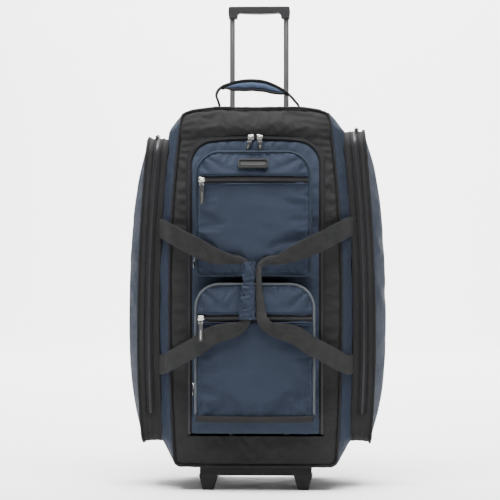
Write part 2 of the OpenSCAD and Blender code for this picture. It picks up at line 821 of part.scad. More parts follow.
wheel_housing(-1);  // left_wheel_housing
wheel_housing(1);  // right_wheel_housing
tyre(-1);  // left_tyre
tyre(1);  // right_tyre
hub(-1);  // left_hub
hub(1);  // right_hub
bearings(-1);  // left_bearings
bearings(1);  // right_bearings
wheel_axles();
base_screws();
flap_slider_at(-1) color(METAL) slider_body(true);  // flap_left_slider
flap_slider_at(1) color(METAL) slider_body(true);  // flap_right_slider
front_slider_at(upper_x, upper_w, upper_zip_z) color(METAL) slider_body(true);  // upper_zip_slider
front_slider_at(0, lower_w, lower_zip_z) color(METAL) slider_body(true);  // lower_zip_slider
flap_slider_at(-1) color(BLACK) pull(27);  // flap_left_pull
flap_slider_at(1) color(BLACK) pull(27);  // flap_right_pull
front_slider_at(upper_x, upper_w, upper_zip_z) color(BLACK) pull(48);  // upper_zip_pull
front_slider_at(0, lower_w, lower_zip_z) color(BLACK) pull(23);  // lower_zip_pull
side_slider(upper_x - upper_w / 2 - gap, front_y - pocket_d / 2, 470);  // upper_side_slider
side_slider(-lower_w / 2 - gap, front_y - pocket_d / 2, 216);  // lower_side_slider
top_slider(-1);  // left_pocket_slider
top_slider(1);  // right_pocket_slider
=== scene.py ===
# An upright rolling duffel bag, put together in the order in which it is sewn and assembled.
import math

import bmesh
import bpy
import numpy as np
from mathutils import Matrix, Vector, geometry, noise
from mathutils.bvhtree import BVHTree


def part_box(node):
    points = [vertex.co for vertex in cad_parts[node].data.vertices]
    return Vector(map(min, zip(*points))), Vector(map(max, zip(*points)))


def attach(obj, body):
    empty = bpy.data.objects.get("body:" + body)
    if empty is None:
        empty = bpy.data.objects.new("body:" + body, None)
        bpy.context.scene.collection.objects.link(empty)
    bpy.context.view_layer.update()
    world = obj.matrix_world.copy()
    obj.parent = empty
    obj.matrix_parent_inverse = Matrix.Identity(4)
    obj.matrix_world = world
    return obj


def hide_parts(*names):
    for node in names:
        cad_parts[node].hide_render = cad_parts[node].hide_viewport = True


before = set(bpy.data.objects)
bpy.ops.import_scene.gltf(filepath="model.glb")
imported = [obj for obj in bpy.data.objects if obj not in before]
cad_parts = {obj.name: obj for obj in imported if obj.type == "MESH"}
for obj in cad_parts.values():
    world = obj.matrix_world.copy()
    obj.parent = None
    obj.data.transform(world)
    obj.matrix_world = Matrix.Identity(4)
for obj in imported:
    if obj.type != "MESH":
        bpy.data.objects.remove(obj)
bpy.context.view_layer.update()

# ---------------------------------------------------------------- studio
# White paper under the bag sweeps up far behind it and has two lamps of its own. A broad lamp
# overhead lights the bag, with faint ones at the front and at both sides. The camera is level,
# at the height of the bag's middle and a little to its right.

def mesh_piece(name, verts, faces, material=None, uv=None, smooth=True):
    mesh = bpy.data.meshes.new(name)
    mesh.from_pydata([tuple(v) for v in verts], [], [tuple(f) for f in faces])
    if uv is not None:
        layer = mesh.uv_layers.new(name="cloth")
        for loop in mesh.loops:
            layer.data[loop.index].uv = uv[loop.vertex_index]
    mesh.polygons.foreach_set("use_smooth", [smooth] * len(mesh.polygons))
    mesh.update()
    piece = bpy.data.objects.new(name, mesh)
    bpy.context.scene.collection.objects.link(piece)
    if material:
        mesh.materials.append(material)
    return piece


def tree_of(name):
    material = bpy.data.materials.new(name)
    material.use_nodes = True
    return material, material.node_tree, material.node_tree.nodes["Principled BSDF"]


sweep_paper, _, paper_shader = tree_of("sweep_paper")
paper_shader.inputs["Base Color"].default_value = (0.93, 0.93, 0.93, 1)
paper_shader.inputs["Roughness"].default_value = 0.9
paper_profile = [(-12, 0), (6.0, 0)]
paper_profile += [(6.0 + 1.5 * math.sin(a), 1.5 - 1.5 * math.cos(a))
                  for a in np.linspace(0.1, math.pi / 2, 12)]
paper_profile += [(7.5, 9)]
paper = mesh_piece("sweep", [(x, y, z) for y, z in paper_profile for x in (-12, 12)],
                   [(2 * i, 2 * i + 1, 2 * i + 3, 2 * i + 2) for i in range(len(paper_profile) - 1)],
                   sweep_paper)


def soft_lamp(name, place, target, size, power):
    lamp = bpy.data.lights.new(name, "AREA")
    lamp.shape = "RECTANGLE"
    lamp.size, lamp.size_y = size
    lamp.energy = power
    holder = bpy.data.objects.new(name, lamp)
    bpy.context.scene.collection.objects.link(holder)
    holder.location = place
    holder.rotation_euler = (Vector(target) - Vector(place)).to_track_quat("-Z", "Y").to_euler()
    holder.visible_camera = False


soft_lamp("overhead", (0, -0.75, 2.3), (0, 0.0, 0.6), (2.0, 1.1), 190)
soft_lamp("left_side", (-3.0, -2.0, 2.4), (0, 0, 0.5), (2.0, 1.6), 7)
soft_lamp("right_side", (3.0, -2.2, 2.4), (0, 0, 0.5), (2.0, 1.6), 8)
soft_lamp("front", (0.3, -5.0, 3.0), (0, 0, 0.5), (2.4, 1.6), 3)
soft_lamp("paper_light", (0, 1.4, 3.6), (0, 3.6, 0.6), (5.0, 2.0), 560)
soft_lamp("far_paper_light", (0, 4.2, 4.4), (0, 7.2, 1.0), (5.0, 2.0), 900)
world = bpy.data.worlds.new("studio")
bpy.context.scene.world = world
world.use_nodes = True
world.node_tree.nodes["Background"].inputs["Color"].default_value = (1, 1, 1, 1)
world.node_tree.nodes["Background"].inputs["Strength"].default_value = 0.10

camera = bpy.data.cameras.new("camera")
camera.lens, camera.sensor_width = 144, 36
camera_holder = bpy.data.objects.new("camera", camera)
bpy.context.scene.collection.objects.link(camera_holder)
camera_side = math.radians(2.0)
camera_holder.location = (4.0 * math.sin(camera_side), -0.112 - 4.0 * math.cos(camera_side), 0.482)
camera_holder.rotation_euler = (math.pi / 2, 0, camera_side + 0.0027)
bpy.context.scene.camera = camera_holder

# ---------------------------------------------------------------- body fabric
# The body is cut from two cloths: black polyester for the front, top, back and underside, and
# slate blue nylon for the gussets and the flap. Every seam is turned over a black piping.

front_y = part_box("front_panel")[0].y
back_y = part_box("back_panel")[1].y
corner_z = 0.757
base_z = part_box("bottom_panel")[0].z


def woven(name, colour, light_share, thread=0.0011, relief=0.00012, sheen=0.25, rough=0.72, mottle=0.10):
    """Cloth: two sets of threads across each other, a slub that varies the colour, and a worn bloom."""
    material, tree, shader = tree_of(name)
    place = tree.nodes.new("ShaderNodeTexCoord")
    split = tree.nodes.new("ShaderNodeSeparateXYZ")
    tree.links.new(place.outputs["Object"], split.inputs[0])

    def ripple(first, second, sign):
        both = tree.nodes.new("ShaderNodeMath")
        both.operation = "ADD" if sign > 0 else "SUBTRACT"
        tree.links.new(split.outputs[first], both.inputs[0])
        tree.links.new(split.outputs[second], both.inputs[1])
        turns = tree.nodes.new("ShaderNodeMath")
        turns.operation = "MULTIPLY"
        tree.links.new(both.outputs[0], turns.inputs[0])
        turns.inputs[1].default_value = 2 * math.pi / thread
        wave = tree.nodes.new("ShaderNodeMath")
        wave.operation = "SINE"
        tree.links.new(turns.outputs[0], wave.inputs[0])
        return wave

    warp, weft = ripple("X", "Y", 1), ripple("Z", "Y", -1)
    cross = tree.nodes.new("ShaderNodeMath")
    cross.operation = "MULTIPLY"
    tree.links.new(warp.outputs[0], cross.inputs[0])
    tree.links.new(weft.outputs[0], cross.inputs[1])
    slub = tree.nodes.new("ShaderNodeTexNoise")
    slub.inputs["Scale"].default_value = 420
    slub.inputs["Detail"].default_value = 3
    tree.links.new(place.outputs["Object"], slub.inputs["Vector"])
    cloud = tree.nodes.new("ShaderNodeTexNoise")
    cloud.inputs["Scale"].default_value = 9
    cloud.inputs["Detail"].default_value = 4
    tree.links.new(place.outputs["Object"], cloud.inputs["Vector"])
    sums = tree.nodes.new("ShaderNodeMath")
    sums.operation = "MULTIPLY_ADD"
    tree.links.new(slub.outputs["Fac"], sums.inputs[0])
    sums.inputs[1].default_value = 1.6
    tree.links.new(cross.outputs[0], sums.inputs[2])
    tone = tree.nodes.new("ShaderNodeMapRange")
    tone.inputs["From Min"].default_value, tone.inputs["From Max"].default_value = -0.4, 2.0
    tree.links.new(sums.outputs[0], tone.inputs["Value"])
    mix = tree.nodes.new("ShaderNodeMix")
    mix.data_type = "RGBA"
    mix.inputs["A"].default_value = tuple(c * (1 - light_share) for c in colour) + (1,)
    mix.inputs["B"].default_value = tuple(c * (1 + light_share) + 0.004 for c in colour) + (1,)
    tree.links.new(tone.outputs["Result"], mix.inputs["Factor"])
    shade = tree.nodes.new("ShaderNodeMapRange")
    shade.inputs["From Min"].default_value, shade.inputs["From Max"].default_value = 0.3, 0.7
    shade.inputs["To Min"].default_value, shade.inputs["To Max"].default_value = 1 - mottle, 1 + mottle
    tree.links.new(cloud.outputs["Fac"], shade.inputs["Value"])
    tint = tree.nodes.new("ShaderNodeVectorMath")
    tint.operation = "SCALE"
    tree.links.new(mix.outputs["Result"], tint.inputs[0])
    tree.links.new(shade.outputs["Result"], tint.inputs["Scale"])
    tree.links.new(tint.outputs[0], shader.inputs["Base Color"])
    bump = tree.nodes.new("ShaderNodeBump")
    bump.inputs["Strength"].default_value = 0.9
    bump.inputs["Distance"].default_value = relief
    tree.links.new(sums.outputs[0], bump.inputs["Height"])
    tree.links.new(bump.outputs[0], shader.inputs["Normal"])
    shader.inputs["Roughness"].default_value = rough
    shader.inputs["Sheen Weight"].default_value = sheen
    shader.inputs["Sheen Roughness"].default_value = 0.45
    shader.inputs["Specular IOR Level"].default_value = 0.08
    return material


slate_nylon = woven("slate_nylon", (0.0152, 0.0212, 0.0355), 0.30, relief=0.00016, sheen=0.012, rough=0.60)
black_polyester = woven("black_polyester", (0.0148, 0.0148, 0.0154), 0.35, sheen=0.015)


def seam_half(z):
    z = np.asarray(z, float)
    up = 0.172 - 0.026 * np.clip((z - 0.4) / 0.357, 0, None) ** 2
    down = 0.172 - 0.010 * np.clip((0.4 - z) / 0.35, 0, None) ** 2
    return np.where(z > 0.4, up, down)


def side_half(z):
    z = np.asarray(z, float)
    mid = np.where(z > 0.34, 0.197 - 0.022 * ((z - 0.34) / 0.384) ** 2,
                   0.197 - 0.007 * ((0.34 - z) / 0.24) ** 2)
    top = 0.175 + (z - 0.724) / 0.033 * -0.025
    low = 0.164 + (z - 0.05) / 0.05 * 0.026
    return np.where(z > 0.724, top, np.where(z < 0.1, low, mid))


def fullness(y):
    """0 at the front and back seams, 1 over the body's middle."""
    front = np.clip((np.asarray(y, float) - front_y) / 0.052, 0, 1)
    back = np.clip((back_y - np.asarray(y, float)) / 0.050, 0, 1)
    return np.sin(np.minimum(front, back) * math.pi / 2) ** 0.9


def crown(x):
    """Height of the top panel: it rises to the middle, and a little more where the handle is sewn."""
    x = np.asarray(x, float)
    rise = 0.0095 * (1 - np.clip(np.abs(x) / 0.150, 0, 1) ** 3)
    lumps = 0.0016 * np.exp(-((x + 0.078) / 0.02) ** 2) + 0.0016 * np.exp(-((x - 0.09) / 0.02) ** 2)
    return corner_z + rise + lumps - 0.0012 * np.exp(-(x / 0.04) ** 2)


def inside(points, outline):
    """Which points lie inside a closed outline."""
    x, z = points[:, 0], points[:, 1]
    hit = np.zeros(len(points), bool)
    a = np.asarray(outline)
    b = np.roll(a, -1, axis=0)
    for (x0, z0), (x1, z1) in zip(a, b):
        crossing = (z0 > z) != (z1 > z)
        with np.errstate(divide="ignore", invalid="ignore"):
            at = (x1 - x0) * (z - z0) / (z1 - z0) + x0
        hit ^= crossing & (x < at)
    return hit


def evenly(outline, step, closed=True):
    """The outline again, with its points a step apart along it."""
    a = np.asarray(outline, float)
    if closed:
        a = np.vstack([a, a[:1]])
    run = np.concatenate([[0], np.cumsum(np.linalg.norm(np.diff(a, axis=0), axis=1))])
    count = max(3, int(round(run[-1] / step)))
    at = np.linspace(0, run[-1], count, endpoint=not closed)
    return np.stack([np.interp(at, run, a[:, k]) for k in range(a.shape[1])], 1)


def edge_distance(points, outline):
    """Distance from each point to the outline, and how far along it the nearest place is."""
    a = np.asarray(outline, float)
    b = np.roll(a, -1, axis=0)
    run = np.concatenate([[0], np.cumsum(np.linalg.norm(b - a, axis=1))])
    best, along = np.full(len(points), 1e9), np.zeros(len(points))
    for i in range(len(a)):
        d = b[i] - a[i]
        t = np.clip(((points - a[i]) @ d) / max(d @ d, 1e-12), 0, 1)
        dist = np.linalg.norm(points - a[i] - t[:, None] * d, axis=1)
        near = dist < best
        best[near], along[near] = dist[near], (run[i] + t * (run[i + 1] - run[i]))[near]
    return best, along


def cut_cloth(name, outline, lift, material, outward, step=0.0065, holes=()):
    """A cloth panel: its flat cut is filled with an even net, and lift puts each point in its place."""
    rims = [evenly(o, step) for o in (outline, *holes)]
    low, high = rims[0].min(0), rims[0].max(0)
    rows = np.arange(low[1], high[1], step * 0.87)
    net = np.array([(x + (step / 2 if i % 2 else 0), z) for i, z in enumerate(rows)
                    for x in np.arange(low[0], high[0], step)])
    keep = inside(net, rims[0])
    for rim in rims[1:]:
        keep &= ~inside(net, rim)
    net = net[keep]
    for rim in rims:
        net = net[edge_distance(net, rim)[0] > step * 0.55]
    flat = np.vstack(rims + [net])
    found = geometry.delaunay_2d_cdt([Vector(p) for p in flat], [], [], 0, 1e-7)
    flat, faces = np.array([tuple(p) for p in found[0]]), found[2]
    centres = np.array([flat[list(f)].mean(0) for f in faces])
    keep = inside(centres, rims[0])
    for rim in rims[1:]:
        keep &= ~inside(centres, rim)
    faces = [list(f) for f, k in zip(faces, keep) if k]
    solid = np.asarray(lift(flat[:, 0], flat[:, 1]), float).T
    first = np.array([solid[f] for f in faces])
    normal = np.cross(first[:, 1] - first[:, 0], first[:, 2] - first[:, 0]).sum(0)
    if normal @ np.asarray(outward, float) < 0:
        faces = [f[::-1] for f in faces]
    piece = mesh_piece(name, solid, faces, material, uv=flat)
    distance, along = np.full(len(flat), 1e9), np.zeros(len(flat))
    for rim in rims:
        d, s = edge_distance(flat, rim)
        nearer = d < distance
        distance[nearer], along[nearer] = d[nearer], s[nearer]
    return piece, distance, along


def points_of(piece):
    co = np.zeros(len(piece.data.vertices) * 3)
    piece.data.vertices.foreach_get("co", co)
    return co.reshape(-1, 3)


def set_points(piece, co):
    piece.data.vertices.foreach_set("co", np.asarray(co, np.float32).ravel())
    piece.data.update()


def normals_of(piece):
    n = np.zeros(len(piece.data.vertices) * 3)
    piece.data.vertices.foreach_get("normal", n)
    return n.reshape(-1, 3)


def lumpy(points, size, seed):
    """Smooth random heights between -1 and 1, one for each point."""
    shift = Vector((seed * 3.7, seed * 1.9, seed * 5.3))
    return np.array([noise.noise(Vector(p) / size + shift) for p in points])


def swell(piece, distance, pressure, growth, cap, frames=20, bending=0.6):
    """Lets a sewn-down panel belly out as cloth: its edge is held, and it is cut slightly too big."""
    rest = points_of(piece)
    held = piece.vertex_groups.new(name="sewn")
    held.add([int(i) for i in np.where(distance < 0.0006)[0]], 1.0, "REPLACE")
    cloth = piece.modifiers.new("swell", "CLOTH")
    cut = cloth.settings
    cut.quality = 5
    cut.mass = 0.25
    cut.tension_stiffness = cut.compression_stiffness = 18
    cut.shear_stiffness = 8
    cut.bending_stiffness = bending
    cut.vertex_group_mass = "sewn"
    cut.use_pressure = True
    cut.uniform_pressure_force = pressure
    cut.shrink_min = -growth
    cut.effector_weights.gravity = 0
    cloth.collision_settings.use_collision = False
    cloth.point_cache.frame_start, cloth.point_cache.frame_end = 1, frames
    for f in range(1, frames + 1):
        bpy.context.scene.frame_set(f)
    shaped = piece.evaluated_get(bpy.context.evaluated_depsgraph_get()).to_mesh()
    co = np.zeros(len(shaped.vertices) * 3)
    shaped.vertices.foreach_get("co", co)
    piece.modifiers.remove(cloth)
    moved = co.reshape(-1, 3) - rest
    reach = np.linalg.norm(moved, axis=1, keepdims=True)
    set_points(piece, rest + moved * np.minimum(1, cap / np.maximum(reach, 1e-9)))
    bpy.context.scene.frame_set(1)


def pucker(piece, distance, along, height=0.0009, pitch=0.017, reach=0.013, seed=1.0):
    """The small gathers that a seam pulls into the cloth beside it."""
    wander = lumpy(np.stack([along, along * 0, along * 0], 1), 0.03, seed) * 2.2
    strength = 0.5 + 0.9 * np.clip(
        lumpy(np.stack([along, along * 0, along * 0], 1), 0.06, seed + 9) + 0.4, 0, 1)
    wave = np.sin(2 * math.pi * along / pitch + wander) * np.exp(-distance / reach)
    wave *= np.clip(distance / 0.003, 0, 1) * strength
    set_points(piece, points_of(piece) + normals_of(piece) * (wave * height)[:, None])


def fans(x, z, corners, height, reach, turns=9.0, seed=0.0):
    """Folds that spread from corners: each has its place and the ways, right and up, it opens to."""
    total = 0.0
    for cx, cz, right, up in corners:
        dx, dz = np.clip((x - cx) * right, 1e-6, None), np.clip((z - cz) * up, 1e-6, None)
        far, turned = np.hypot(dx, dz), np.arctan2(dz, dx)
        drift = 0.8 * lumpy(np.stack([x, z, z * 0], 1), 0.05, seed + cx)
        fold = np.sin(turned * turns + seed + drift)
        total = (total + height * (fold - 0.35 * np.abs(fold)) * np.clip(far / 0.03, 0, 1)
                 * np.exp(-(far / reach) ** 2))
    return total


def lined(piece, thickness=0.0016, levels=1):
    """Gives a panel the thickness of its cloth and foam, and rounds it."""
    wall = piece.modifiers.new("cloth_thickness", "SOLIDIFY")
    wall.thickness = thickness
    wall.offset = -1
    if levels:
        smooth = piece.modifiers.new("round", "SUBSURF")
        smooth.levels = smooth.render_levels = levels
    return piece


def body_outline(inset=0.0, low=base_z):
    """The front panel's cut: straight below, bellied at the sides and crowned above."""
    z = np.linspace(low + 0.014, corner_z - 0.012, 44)
    right = [(float(h) - inset, float(v)) for h, v in zip(seam_half(z), z)]
    foot = [(0.1625 - 0.014 + 0.014 * math.sin(a) - inset, low + 0.014 - 0.014 * math.cos(a) + inset)
            for a in np.linspace(0.1, 1.4, 5)]
    shoulder = [(0.1345 + 0.012 * math.cos(a) - inset, corner_z - 0.012 + 0.012 * math.sin(a) - inset)
                for a in np.linspace(0.15, 1.4, 5)]
    half = foot + right + shoulder
    top = [(float(x), float(crown(x)) - inset) for x in np.linspace(0.125, -0.125, 21)]
    return half + top + [(-x, z) for x, z in reversed(half)]


flap_half, flap_low, flap_top = 0.129, 0.114, 0.703


def flap_outline(grow=0.0, low=flap_low):
    w, r = flap_half + grow, 0.040 + grow
    corner = [(w - r + r * math.cos(a), flap_top + grow - r + r * math.sin(a))
              for a in np.linspace(0, math.pi / 2, 10)]
    corner = [(x, z - 0.010 * (x / w) ** 2) for x, z in corner]
    right = [(w, low)] + [(w, z) for z in np.linspace(low + 0.03, flap_top - 0.06, 24)] + corner
    top = [(x, flap_top + grow - 0.010 * (x / w) ** 2) for x in np.linspace(0.07, -0.07, 9)]
    return right + top + [(-x, z) for x, z in reversed(right)]


front_rim = body_outline()


def front_lift(x, z):
    flat = np.stack([x, z], 1)
    edge = edge_distance(flat, front_rim)[0]
    belly = 0.0022 * np.sin(np.clip(edge / 0.045, 0, 1) * math.pi / 2)
    turned = 0.006 * np.exp(-edge / 0.004)
    waves = 0.0012 * lumpy(np.stack([x * 0.5, z, z * 0], 1), 0.035, 3)
    drift = 1.6 * lumpy(np.stack([x, z, z * 0], 1), 0.03, 4)
    gathered = (np.sin(2 * math.pi * (z + 0.12 * np.abs(x)) / 0.0135 + drift)
                * np.exp(-(edge / 0.026) ** 1.5))
    waves = (waves + 0.0021 * gathered * np.clip((z - 0.655) / 0.02, 0, 1)
             * np.clip((np.abs(x) - 0.07) / 0.03, 0, 1))
    full = np.clip((0.766 - z) / 0.060, 0, 1) ** 1.5
    belly = belly + 0.0052 * np.sin(math.pi * full)
    waves = (waves + 0.0011 * np.sin(2 * math.pi * z / 0.031 + 2 * drift) * np.exp(-edge / 0.020)
             * (z < 0.66))
    return x, front_y + 0.002 - belly + turned + waves * np.clip(edge / 0.01, 0, 1), z


front_cloth, distance, along = cut_cloth(
    "front_cloth", front_rim, front_lift, black_polyester, (0, -1, 0), step=0.0050,
    holes=[flap_outline(0.0075, flap_low - 0.004)])
swell(front_cloth, distance, 2.0, 0.012, 0.0035)
pucker(front_cloth, distance, along, height=0.0007, pitch=0.02, seed=2)
lined(front_cloth)
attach(front_cloth, "bag")
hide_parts("front_panel")

gusset_low, gusset_high = base_z + 0.002, corner_z - 0.001


def gusset_lift(side):
    def lift(y, z):
        share = fullness(y)
        x = seam_half(z) + share * (side_half(z) - seam_half(z))
        crease = 0.0008 * lumpy(np.stack([y, z * 0.9, y * 0], 1), 0.045, 5 + side)
        return side * (x + crease * np.clip(share * 2, 0, 1)), y, z
    return lift


for side, label in ((-1, "left"), (1, "right")):
    rim = [(front_y + 0.004, z) for z in np.linspace(gusset_low, gusset_high, 60)]
    rim += [(back_y - 0.004, z) for z in np.linspace(gusset_high, gusset_low, 60)]
    gusset_cloth, distance, along = cut_cloth(label + "_gusset_cloth", rim, gusset_lift(side), slate_nylon,
                                              (side, 0, 0), step=0.008)
    swell(gusset_cloth, distance, 1.2, 0.008, 0.0018, bending=2.0)
    pucker(gusset_cloth, distance, along, height=0.0008, pitch=0.024, reach=0.012, seed=4 + side)
    lined(gusset_cloth)
    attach(gusset_cloth, "bag")
    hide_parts(label + "_gusset")


def top_lift(x, y):
    edge = np.minimum(np.abs(y - front_y), np.abs(y - back_y))
    dip = 0.006 * np.exp(-edge / 0.005)
    return x, y, crown(x) - dip + 0.0012 * lumpy(np.stack([x, y, x * 0], 1), 0.04, 8)


bezel_low, bezel_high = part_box("handle_bezel")
bezel_hole = [(bezel_low.x, bezel_low.y), (bezel_high.x, bezel_low.y), (bezel_high.x, bezel_high.y),
              (bezel_low.x, bezel_high.y)]
top_rim = [(-0.149, front_y + 0.003), (0.149, front_y + 0.003), (0.149, back_y - 0.003),
           (-0.149, back_y - 0.003)]
top_cloth, distance, along = cut_cloth(
    "top_cloth", top_rim, top_lift, black_polyester, (0, 0, 1), step=0.008, holes=[bezel_hole])
pucker(top_cloth, distance, along, height=0.0008, pitch=0.022, seed=6)
lined(top_cloth)
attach(top_cloth, "bag")
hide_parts("top_panel")


def back_lift(x, z):
    edge = edge_distance(np.stack([x, z], 1), front_rim)[0]
    belly = 0.001 * np.sin(np.clip(edge / 0.05, 0, 1) * math.pi / 2)
    turned = 0.0035 * np.exp(-edge / 0.0015)
    return x, back_y - 0.0022 + belly - turned + 0.0006 * lumpy(np.stack([x, z, z * 0], 1), 0.05, 12), z


well_rim = [(-0.1165, 0.030), (-0.1165, 0.0745), (-0.0735, 0.0745), (-0.0735, 0.030)]
back_rim = list(front_rim)
back_cloth, distance, along = cut_cloth(
    "back_cloth", back_rim, back_lift, black_polyester, (0, 1, 0), step=0.008,
    holes=[[(x * s, max(z, base_z + 0.003)) for x, z in well_rim] for s in (1, -1)])
pucker(back_cloth, distance, along, height=0.0007, pitch=0.022, seed=7)
lined(back_cloth)
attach(back_cloth, "bag")
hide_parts("back_panel")


def under_lift(x, y):
    return x, y, base_z + 0.0008 + 0.0006 * lumpy(np.stack([x, y, x * 0], 1), 0.04, 15)


well_floor = [(0.0765, 0.108), (0.1135, 0.108), (0.1135, 0.1462), (0.0765, 0.1462)]
under_cloth, distance, along = cut_cloth(
    "under_cloth",
    [(-0.1635, front_y + 0.003), (0.1635, front_y + 0.003), (0.1635, back_y - 0.003),
     (-0.1635, back_y - 0.003)],
    under_lift, black_polyester, (0, 0, -1), step=0.010,
    holes=[[(x * s, y) for x, y in well_floor] for s in (1, -1)])
lined(under_cloth)
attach(under_cloth, "bag")
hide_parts("bottom_panel")

# ---------------------------------------------------------------- piping
# Piping is a cord wrapped in a bias strip and caught in the seam, so it stands up as a round
# edge. The body's is black, and runs once round the front and once round the back.

def ring_faces(loops, count):
    """The four-sided faces between each ring of points and the next, round every ring."""
    return [(i * count + k, i * count + (k + 1) % count, (i + 1) * count + (k + 1) % count,
             (i + 1) * count + k)
            for i in range(loops - 1) for k in range(count)]


def end_caps(loops, count):
    return [tuple(range(count)), tuple(range((loops - 1) * count, loops * count))[::-1]]


def turned_outwards(piece):
    net = bmesh.new()
    net.from_mesh(piece.data)
    bmesh.ops.recalc_face_normals(net, faces=net.faces)
    net.to_mesh(piece.data)
    net.free()
    return piece


def tube(name, path, radius, material, closed=True, sides=8, flatten=1.0, wobble=0.0):
    """A round cord along a path."""
    path = np.asarray(path, float)
    count = len(path)
    step = np.roll(path, -1, 0) - np.roll(path, 1, 0)
    if not closed:
        step[0], step[-1] = path[1] - path[0], path[-1] - path[-2]
    step /= np.linalg.norm(step, axis=1, keepdims=True)
    ref = np.zeros(3)
    ref[int(np.argmin(np.abs(step).max(0)))] = 1
    verts, side_dir = [], None
    for i in range(count):
        if side_dir is None:
            side_dir = np.cross(step[i], ref)
        side_dir = side_dir - step[i] * (side_dir @ step[i])
        side_dir /= np.linalg.norm(side_dir)
        other = np.cross(step[i], side_dir)
        r = radius * (1 + wobble * noise.noise(Vector(path[i]) * 90))
        for k in range(sides):
            a = 2 * math.pi * k / sides
            verts.append(path[i] + r * (math.cos(a) * side_dir + flatten * math.sin(a) * other))
    faces = []
    for i in range(count if closed else count - 1):
        j = (i + 1) % count
        for k in range(sides):
            m = (k + 1) % sides
            faces.append((i * sides + k, i * sides + m, j * sides + m, j * sides + k))
    if not closed:
        faces.append(tuple(range(sides))[::-1])
        faces.append(tuple((count - 1) * sides + k for k in range(sides)))
    return turned_outwards(mesh_piece(name, verts, faces, material))


black_piping = woven("black_piping", (0.010, 0.010, 0.011), 0.3, relief=0.0001, sheen=0.02, rough=0.6)
for name, y in (("front_piping", front_y + 0.0035), ("back_piping", back_y - 0.0035)):
    line = evenly(body_outline(-0.0006), 0.006)
    cord = tube(name, [(x, y, z) for x, z in line], 0.0026, black_piping, wobble=0.3)
    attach(cord, "bag")

# ---------------------------------------------------------------- zips
# Coil zips: a tape woven with a ribbed edge, and a nylon coil of small links down its middle.
# The links are instanced along the zip's line by one node tree that every zip shares.

def tape(name, path, across, width, material, thickness=0.0008, closed=False):
    """A flat strip: path is its middle line, across the direction of its width at each point."""
    path, across = np.asarray(path, float), np.asarray(across, float)
    across = across / np.linalg.norm(across, axis=1, keepdims=True)
    rows = [path + across * width * f for f in (-0.5, -0.17, 0.17, 0.5)]
    count = len(path)
    verts = [rows[k][i] for i in range(count) for k in range(4)]
    run = np.concatenate([[0], np.cumsum(np.linalg.norm(np.diff(path, axis=0), axis=1))])
    uv = [(run[i], width * f) for i in range(count) for f in (-0.5, -0.17, 0.17, 0.5)]
    faces = [(i * 4 + k, i * 4 + k + 1, (i + 1) % count * 4 + k + 1, (i + 1) % count * 4 + k)
             for i in range(count if closed else count - 1) for k in range(3)]
    piece = mesh_piece(name, verts, faces, material, uv=uv)
    wall = piece.modifiers.new("tape_thickness", "SOLIDIFY")
    wall.thickness = thickness
    wall.offset = 0
    return piece


def input_id(tree, name):
    return next(s.identifier for s in tree.interface.items_tree if s.name == name and s.in_out == "INPUT")


def link_tree():
    """Links along a line: each is a short bar across the line."""
    tree = bpy.data.node_groups.new("links_along_line", "GeometryNodeTree")
    tree.interface.new_socket("Geometry", in_out="INPUT", socket_type="NodeSocketGeometry")
    for name, value in (("Pitch", 0.002), ("Bar length", 0.0045), ("Bar width", 0.0011),
                        ("Bar height", 0.0014)):
        socket = tree.interface.new_socket(name, in_out="INPUT", socket_type="NodeSocketFloat")
        socket.default_value = value
    tree.interface.new_socket("Material", in_out="INPUT", socket_type="NodeSocketMaterial")
    tree.interface.new_socket("Geometry", in_out="OUTPUT", socket_type="NodeSocketGeometry")
    n, link = tree.nodes, tree.links.new
    start, end = n.new("NodeGroupInput"), n.new("NodeGroupOutput")
    curve = n.new("GeometryNodeMeshToCurve")
    link(start.outputs["Geometry"], curve.inputs["Mesh"])
    spaced = n.new("GeometryNodeResampleCurve")
    spaced.mode = "LENGTH"
    link(curve.outputs["Curve"], spaced.inputs["Curve"])
    link(start.outputs["Pitch"], spaced.inputs["Length"])
    size = n.new("ShaderNodeCombineXYZ")
    link(start.outputs["Bar length"], size.inputs["X"])
    link(start.outputs["Bar width"], size.inputs["Z"])
    link(start.outputs["Bar height"], size.inputs["Y"])
    bar = n.new("GeometryNodeMeshCube")
    link(size.outputs[0], bar.inputs["Size"])
    # the line's own normal is stored on it as a named attribute
    normal = n.new("GeometryNodeInputNamedAttribute")
    normal.data_type = "FLOAT_VECTOR"
    normal.inputs["Name"].default_value = "up"
    tangent = n.new("GeometryNodeInputTangent")
    first = n.new("FunctionNodeAlignEulerToVector")
    first.axis = "Z"
    link(tangent.outputs[0], first.inputs["Vector"])
    second = n.new("FunctionNodeAlignEulerToVector")
    second.axis, second.pivot_axis = "Y", "Z"
    link(first.outputs[0], second.inputs["Rotation"])
    link(normal.outputs["Attribute"], second.inputs["Vector"])
    points = n.new("GeometryNodeInstanceOnPoints")
    link(spaced.outputs["Curve"], points.inputs["Points"])
    link(bar.outputs["Mesh"], points.inputs["Instance"])
    link(second.outputs[0], points.inputs["Rotation"])
    real = n.new("GeometryNodeRealizeInstances")
    link(points.outputs["Instances"], real.inputs["Geometry"])
    paint = n.new("GeometryNodeSetMaterial")
    link(real.outputs["Geometry"], paint.inputs["Geometry"])
    link(start.outputs["Material"], paint.inputs["Material"])
    link(paint.outputs["Geometry"], end.inputs["Geometry"])
    return tree


links_along_line = link_tree()


